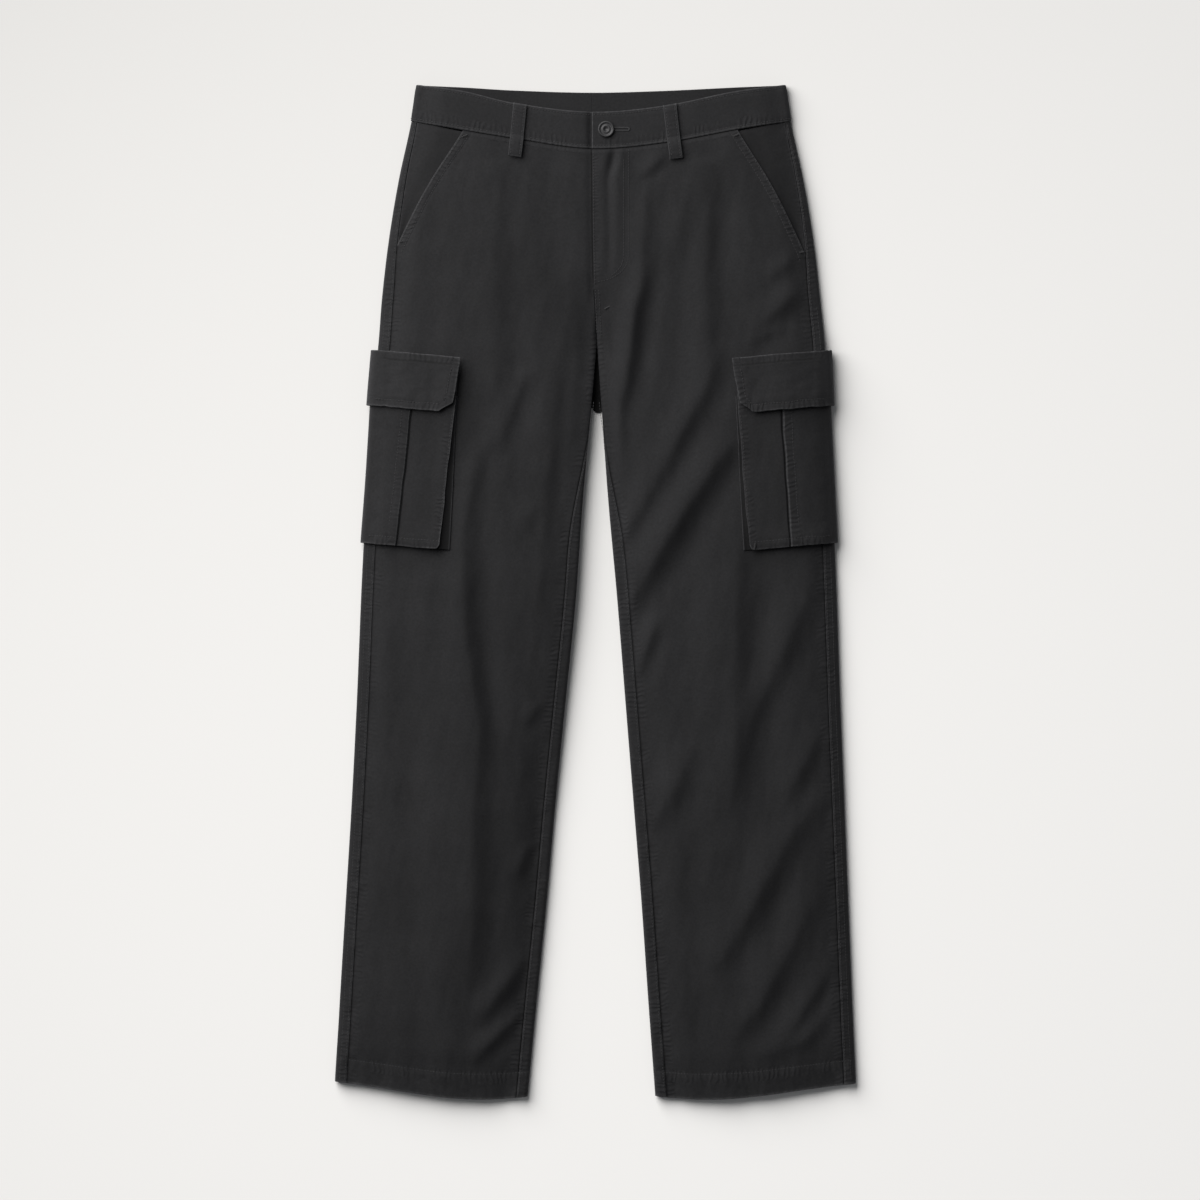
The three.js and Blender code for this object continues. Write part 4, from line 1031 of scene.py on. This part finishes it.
def back_loop(name, x):
    leg = RIGHT if x < 0 else LEFT
    levels = steps(TOP, SEAM_LEVEL - LOOP_TAIL, 2.4)
    centre = -round_from(np.abs(x - leg_at(leg, levels)[0]))
    return belt_loop(f"belt_loop_back_{name}_cloth", leg, levels, centre, GAP + LOOP_WALL, True)


def button_seat():
    level = SEAM_LEVEL + BAND_HEIGHT / 2
    p = round_from(abs(BUTTON_X - float(leg_at(LEFT, level)[0])))
    return float(skin(LEFT, [[level]], [[p]])[0, 0, 2]) + BAND_PROUD + BAND_PUFF + 0.7


def button():
    """A turned button: raised rim, dished ring, and a hollow in the middle."""
    r, t = BUTTON_RADIUS, BUTTON_THICK
    profile = [
        (0, 0), (r * 0.55, 0), (r * 0.8, 0.2), (r * 0.95, t * 0.3), (r, t * 0.5), (r * 0.985, t * 0.75),
        (r * 0.94, t * 0.93), (r * 0.88, t), (r * 0.81, t * 0.95), (r * 0.76, t * 0.78), (r * 0.7, t * 0.64),
        (r * 0.6, t * 0.6), (r * 0.52, t * 0.7), (r * 0.46, t * 0.8), (r * 0.38, t * 0.82), (r * 0.3, t * 0.74),
        (r * 0.24, t * 0.5), (r * 0.12, t * 0.34), (0, t * 0.3),
    ]
    sides = 64
    seat = button_seat()
    vertices, faces = [], []
    for radius, height in profile[1:-1]:
        for k in range(sides):
            angle = 2 * math.pi * k / sides
            vertices.append((BUTTON_X + radius * math.cos(angle), BUTTON_Y + radius * math.sin(angle), seat + height))
    rings = len(profile) - 2
    for i in range(rings - 1):
        for k in range(sides):
            n = (k + 1) % sides
            faces.append([i * sides + k, i * sides + n, (i + 1) * sides + n, (i + 1) * sides + k])
    for ring, (_, height) in ((0, profile[0]), (rings - 1, profile[-1])):
        vertices.append((BUTTON_X, BUTTON_Y, seat + height))
        for k in range(sides):
            pair = [ring * sides + k, ring * sides + (k + 1) % sides]
            faces.append([len(vertices) - 1, *(pair[::-1] if ring == 0 else pair)])
    return make_mesh("button_turned", vertices, faces, MATERIALS["button"], sharp=60)


# Stitching

THREAD_RADIUS = 0.27
STITCH = 2.5
STITCH_GAP = 0.6


class Sewing:
    """Collects stitches, each a small thread bead that dips into the cloth at both ends."""

    def __init__(self):
        self.parts = []
        self.count = 0

    def bead(self, start, stop, up, radius=THREAD_RADIUS, sides=5):
        along = stop - start
        length = np.linalg.norm(along, axis=1, keepdims=True)
        along = along / np.maximum(length, 1e-6)
        side = np.cross(along, up)
        side /= np.maximum(np.linalg.norm(side, axis=1, keepdims=True), 1e-6)
        up = np.cross(side, along)
        rings = [(0.0, 0.35, -0.5), (0.16, 0.95, 0.25), (0.5, 1.0, 0.5), (0.84, 0.95, 0.25), (1.0, 0.35, -0.5)]
        angles = 2 * np.pi * np.arange(sides) / sides
        shape = []
        for t, wide, high in rings:
            centre = start + along * length * t + up * radius * high
            for angle in angles:
                shape.append(centre + radius * wide * (np.cos(angle) * side + np.sin(angle) * up))
        vertices = np.stack(shape, axis=1)
        n = len(start)
        faces = []
        for i in range(len(rings) - 1):
            for k in range(sides):
                m = (k + 1) % sides
                faces.append([i * sides + k, i * sides + m, (i + 1) * sides + m, (i + 1) * sides + k])
        faces = np.array(faces)
        last = (len(rings) - 1) * sides
        caps = np.array([list(range(sides))[::-1], [last + k for k in range(sides)]])
        base = self.count + np.arange(n)[:, None, None] * len(shape)
        self.parts.append((vertices.reshape(-1, 3), (faces + base).reshape(-1, 4), (caps + base).reshape(-1, sides)))
        self.count += n * len(shape)

    def along(self, points, up, pitch=STITCH + STITCH_GAP, length=STITCH, radius=THREAD_RADIUS):
        """Stitches one after another down a line of points with their up directions."""
        gone = np.concatenate([[0], np.cumsum(np.linalg.norm(np.diff(points, axis=0), axis=1))])
        starts = np.arange(0.3, gone[-1] - length, pitch)
        if len(starts) == 0:
            return
        pick = lambda values, at: np.stack([np.interp(at, gone, values[:, k]) for k in range(3)], axis=1)
        self.bead(pick(points, starts), pick(points, starts + length), pick(up, starts + length / 2), radius)

    def on_skin(self, leg, level, p, out, detail=1.0, **kind):
        """A stitched line along the skin, out from it as the piece it sews."""
        level, p = np.broadcast_arrays(np.asarray(level, float), np.asarray(p, float))
        e = 0.4
        grid_level = np.stack([level, level, level + e, level - e], axis=1)
        grid_p = np.stack([p + e, p - e, p, p], axis=1)
        q = skin(leg, grid_level, grid_p, detail)
        n = np.cross(q[:, 0] - q[:, 1], q[:, 2] - q[:, 3]) * -leg.sign
        n /= np.maximum(np.linalg.norm(n, axis=1, keepdims=True), 1e-9)
        here = skin(leg, column(level), column(p), detail)[:, 0]
        self.along(here + n * np.broadcast_to(out, level.shape)[:, None], n, **kind)

    def tack(self, leg, level, p, out, turn=0.0, length=6.0, width=2.2):
        """A bar tack: close parallel stitches, turned from the row's direction."""
        centre = skin(leg, [[level]], [[p]])[0, 0] + np.array([0, 0, out])
        line = np.array([math.cos(turn), math.sin(turn), 0])
        cross = np.array([-line[1], line[0], 0])
        count = int(length / 0.55)
        mid = centre + line * np.linspace(-length / 2, length / 2, count)[:, None]
        up = np.tile([0, 0, 1.0], (count, 1))
        self.bead(mid - cross * width / 2, mid + cross * width / 2, up)

    def finish(self, name):
        vertices = np.concatenate([part[0] for part in self.parts])
        sides = [list(f) for part in self.parts for f in part[1]]
        caps = [list(f) for part in self.parts for f in part[2]]
        return make_mesh(name, vertices, sides + caps, MATERIALS["thread"], sharp=180)


def sew_leg(leg):
    """Topstitching of one leg's panels."""
    sew = Sewing()
    down = steps(SEAM_LEVEL - 3, HEM_LEVEL + 2, 3)
    sew.on_skin(leg, down, side_seam(down) - 2.0, 0.05)
    low = steps(FORK_LEVEL + 30, HEM_LEVEL + 2, 3)
    sew.on_skin(leg, low, side_seam(low) - 7.4, 0.05)
    inner = steps(FORK_LEVEL - 60, HEM_LEVEL + 2, 3)
    face = leg_at(leg, inner)[2]
    sew.on_skin(leg, inner, face - inseam(inner) + 2.0, 0.05)
    # Hem, all round
    level = HEM_LEVEL + HEM_FOLD
    face = float(leg_at(leg, level)[2])
    sew.on_skin(leg, np.full(260, level), np.linspace(face - 0.5, 0.5, 260), 0.1)
    sew.on_skin(leg, np.full(200, level), np.linspace(-0.5, 0.5 - face, 200), 0.05)
    # Hand pocket edge
    mouth = steps(SEAM_LEVEL - 4, leg.slant_end - 8, 2.5)
    sew.on_skin(leg, mouth, slant_edge(leg, mouth) + 8.4, 0.05)
    rim = steps(SEAM_LEVEL - 4, leg.slant_end + 2, 2.5)
    sew.on_skin(leg, rim, slant_edge(leg, rim) + 1.9, 0.05)
    sew.tack(leg, SEAM_LEVEL - 6, float(slant_edge(leg, SEAM_LEVEL - 6)) + 5, 0.4, 0.4, 6)
    sew.tack(leg, leg.slant_end + 4, float(slant_edge(leg, leg.slant_end + 4)) + 4, 0.4, 0.2, 6)
    return sew.finish(f"topstitching_{leg.name}")


def sew_pocket(leg):
    """Stitching of a cargo pocket and its flap."""
    sew = Sewing()
    edge_at = lambda level: front_edge(leg, level)
    seat = POCKET_END + 8.4
    p = np.linspace(float(edge_at(seat)) - 2, ARC, 60)
    sew.on_skin(leg, np.full(60, seat), p, patch_out(leg, seat, p) + 0.85 * POCKET_TIP)
    down = steps(FLAP_END - 2, POCKET_END + 2, 3)
    at = pleat(leg, down) - 8.4
    sew.on_skin(leg, down, at, patch_out(leg, down, at) + 0.1)
    at = edge_at(down) - 2.2
    sew.on_skin(leg, down, at, patch_out(leg, down, at) + 0.15)
    # Flap: round its free edges and along its header
    edge = round_from(leg.flap)
    flat = PATCH_FRONT + PLEAT_STEP + PATCH_WALL + LAYER_GAP + FLAP_WALL + 0.35
    flap_out = lambda level, p: flat + fullness(leg, np.minimum(level, FLAP_END), p)
    inset = 7.4
    side = steps(FLAP_TOP - 12, FLAP_END + inset + 8.5, 2.5)
    corner = np.linspace(FLAP_END + inset + 8, FLAP_END + inset, 8)
    clip_p = np.linspace(edge - inset, edge - FLAP_CLIP - inset * 0.2, 8)
    low_p = np.linspace(edge - FLAP_CLIP - inset * 0.2, ARC + 1, 50)
    for level, p, more in (
        (side, np.full(len(side), edge - inset), 0.2),
        (corner, clip_p, 0.4),
        (np.full(50, FLAP_END + inset), low_p, 0.35),
    ):
        at = p - flap_lean(leg, level, p)
        lower = level - FLAP_END - flap_rise(leg, p)
        sew.on_skin(leg, level, at, flap_out(level, p) + more + (FLAP_TIP[leg.name] - 0.5) * smooth((34 - lower) / 34))
    sew.tack(leg, POCKET_END + 3.5, float(edge_at(POCKET_END)) - 6, PATCH_FRONT + PATCH_WALL + BULGE + 2.2, 1.4, 6)
    return sew.finish(f"pocket_stitching_{leg.name}")


def fly_p(leg, level, x):
    return round_from(np.abs(x - leg_at(leg, level)[0]))


def sew_front():
    """Fly, crotch, waistband and loop stitching of the front."""
    sew = Sewing()
    # The fly's curved line: straight down, then in to the centre
    y = np.concatenate([steps(SEAM_LEVEL - 2, 352, 3), 352 - 27 * np.sin(np.linspace(0, np.pi / 2, 16))[1:]])
    x = np.concatenate([np.full(len(y) - 15, 34.5), 34.5 - 36 * (1 - np.cos(np.linspace(0, np.pi / 2, 16)))[1:]])
    sew.on_skin(LEFT, y, fly_p(LEFT, y, x), 0.1)
    sew.on_skin(LEFT, y[4:-6], fly_p(LEFT, y[4:-6], x[4:-6] - 5), 0.1)
    sew.tack(LEFT, 303, float(fly_p(LEFT, 303, 13.0)), 0.3, 0.5, 7)
    seam = steps(318, FORK_LEVEL + 6, 3)
    face = leg_at(LEFT, seam)[2]
    sew.on_skin(LEFT, seam, face - 2.0, 0.1)
    sew.on_skin(LEFT, seam, face - 7.5, 0.1)
    lap = steps(SEAM_LEVEL - 3, 322, 3)
    sew.on_skin(LEFT, lap, leg_at(LEFT, lap)[2] - 2.0, 0.1)
    # Waistband edges, round each half
    for leg in LEGS:
        for above in (3.0, BAND_HEIGHT - 3.0):
            level = SEAM_LEVEL + above
            face = float(leg_at(leg, level)[2])
            p = np.linspace(face - 2.5, 0.5, 150)
            sew.on_skin(leg, np.full(150, level), p, BAND_PROUD + BAND_PUFF + 0.1, 0.8)
            p = np.linspace(-0.5, 2.5 - face, 130)
            sew.on_skin(leg, np.full(130, level), p, 0.05, 0.8)
        down = steps(TOP - 2.5, SEAM_LEVEL - 19, 2.4)
        side_x = leg_at(leg, down)[0]
        x = mix(leg.loop_top, leg.loop_bottom, (TOP - down) / (TOP - SEAM_LEVEL + 21.2))
        middle = round_from(np.abs(x - side_x))
        for across in (-4.7, 4.7):
            sew.on_skin(leg, down, middle + across, BAND_PROUD + LOOP_WALL + LOOP_RISE + 0.25, 0.3)
        for k in (1, len(down) - 2):
            sew.tack(leg, float(down[k]), float(middle[k]), BAND_PROUD + LOOP_WALL + LOOP_RISE + 0.1, 0.0, 11, 1.8)
    return sew.finish("front_stitching")


def sew_back():
    """Double stitching of the centre back seam."""
    sew = Sewing()
    down = steps(SEAM_LEVEL - 3, FORK_LEVEL + 8, 3)
    for leg, inset in ((RIGHT, 2.0), (LEFT, 2.0), (LEFT, 7.5)):
        sew.on_skin(leg, down, inset - leg_at(leg, down)[2], 0.02)
    return sew.finish("back_stitching")


def buttonhole():
    """Close stitches round the part of the slit that shows beside the button."""
    sew = Sewing()
    level = SEAM_LEVEL + BAND_HEIGHT / 2
    face = leg_at(LEFT, level)[2]
    seat = button_seat() - 0.25
    xs = np.arange(BUTTON_X + 2, 34.0, 0.62)
    up = np.tile([0, 0, 1.0], (len(xs), 1))
    for side in (-1, 1):
        root = np.stack([xs, np.full(len(xs), BUTTON_Y + side * 0.5), np.full(len(xs), seat)], axis=1)
        tip = root + np.array([0, side * 2.0, 0])
        sew.bead(root, tip, up, 0.3)
    turn = np.linspace(-np.pi / 2, np.pi / 2, 9)
    hub = np.array([34.0, BUTTON_Y, seat])
    spoke = np.stack([np.cos(turn), np.sin(turn), 0 * turn], axis=1)
    sew.bead(hub + spoke * 0.5, hub + spoke * 2.5, np.tile([0, 0, 1.0], (9, 1)), 0.3)
    return sew.finish("buttonhole_stitching")


def build_pieces():
    for leg in LEGS:
        side = leg.name
        front, back = front_panel(leg), back_panel(leg)
        facing, band = pocket_facing(leg), waistband(leg)
        pocket, gusset, flap, loop = cargo_pocket(leg), cargo_gusset(leg), cargo_flap(leg), front_loop(leg)
        for piece, node in (
            (front, "front"), (back, "back"), (facing, "pocket_facing"), (band, "waistband"),
            (pocket, "cargo_pocket"), (gusset, "cargo_gusset"), (flap, "cargo_flap"), (loop, "belt_loop_front"),
        ):
            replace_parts(piece, f"{node}_{side}")
        sew_leg(leg)
        sew_pocket(leg)
    for name, x in BACK_LOOP_XS.items():
        loop = back_loop(name, x)
        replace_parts(loop, f"belt_loop_back_{name}")
    sew_front()
    sew_back()
    buttonhole()
    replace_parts(button(), "button")


# Stage: floor, camera, light

def floor():
    material, tree, shader = node_tree("table_top")
    place = add(tree, "ShaderNodeTexCoord").outputs["Object"]
    # Darker towards the lamp, so that the backdrop looks even
    along = add(tree, "ShaderNodeVectorMath", {0: place, 1: (0.62, -0.785, 0)}, operation="DOT_PRODUCT")
    fall = add(tree, "ShaderNodeMapRange", {
        "Value": along.outputs["Value"], "From Min": -0.9, "From Max": 0.9, "To Min": 0.0, "To Max": 1.0,
    })
    ramp = add(tree, "ShaderNodeValToRGB", {"Fac": fall.outputs[0]})
    ramp.color_ramp.elements[0].color = (0.395, 0.393, 0.388, 1)
    ramp.color_ramp.elements[1].color = (0.975, 0.97, 0.96, 1)
    tree.links.new(ramp.outputs["Color"], shader.inputs["Base Color"])
    shader.inputs["Roughness"].default_value = 0.9
    shader.inputs["Specular IOR Level"].default_value = 0.1
    half = 6.0
    mesh = bpy.data.meshes.new("table_top")
    mesh.from_pydata([(-half, -half, 0), (half, -half, 0), (half, half, 0), (-half, half, 0)], [], [(0, 1, 2, 3)])
    mesh.materials.append(material)
    top = bpy.data.objects.new("table_top", mesh)
    top.location.z = -0.0002
    bpy.context.scene.collection.objects.link(top)


def camera():
    data = bpy.data.cameras.new("camera")
    distance, width = 6.0, 1.26
    data.sensor_width = 36.0
    data.lens = data.sensor_width * distance / width
    eye = bpy.data.objects.new("camera", data)
    eye.location = (0.0047, -0.0082, distance)
    bpy.context.scene.collection.objects.link(eye)
    bpy.context.scene.camera = eye


def area_light(name, place, aim, size, power, color):
    data = bpy.data.lights.new(name, "AREA")
    data.shape = "DISK"
    data.size = size
    data.energy = power
    data.color = color
    lamp = bpy.data.objects.new(name, data)
    lamp.location = place
    lamp.rotation_euler = (Vector(aim) - Vector(place)).to_track_quat("-Z", "Y").to_euler()
    bpy.context.scene.collection.objects.link(lamp)


def light():
    area_light("key", (-1.75, 1.9, 2.0), (0, 0, 0), 3.8, 264.0, (1.0, 0.986, 0.968))
    world = bpy.data.worlds.new("studio")
    world.use_nodes = True
    sky = world.node_tree.nodes["Background"]
    sky.inputs["Color"].default_value = (0.95, 0.97, 1.0, 1)
    sky.inputs["Strength"].default_value = 0.17
    bpy.context.scene.world = world
    bpy.context.scene.view_settings.view_transform = "Standard"


camera()
build_pieces()
floor()
light()
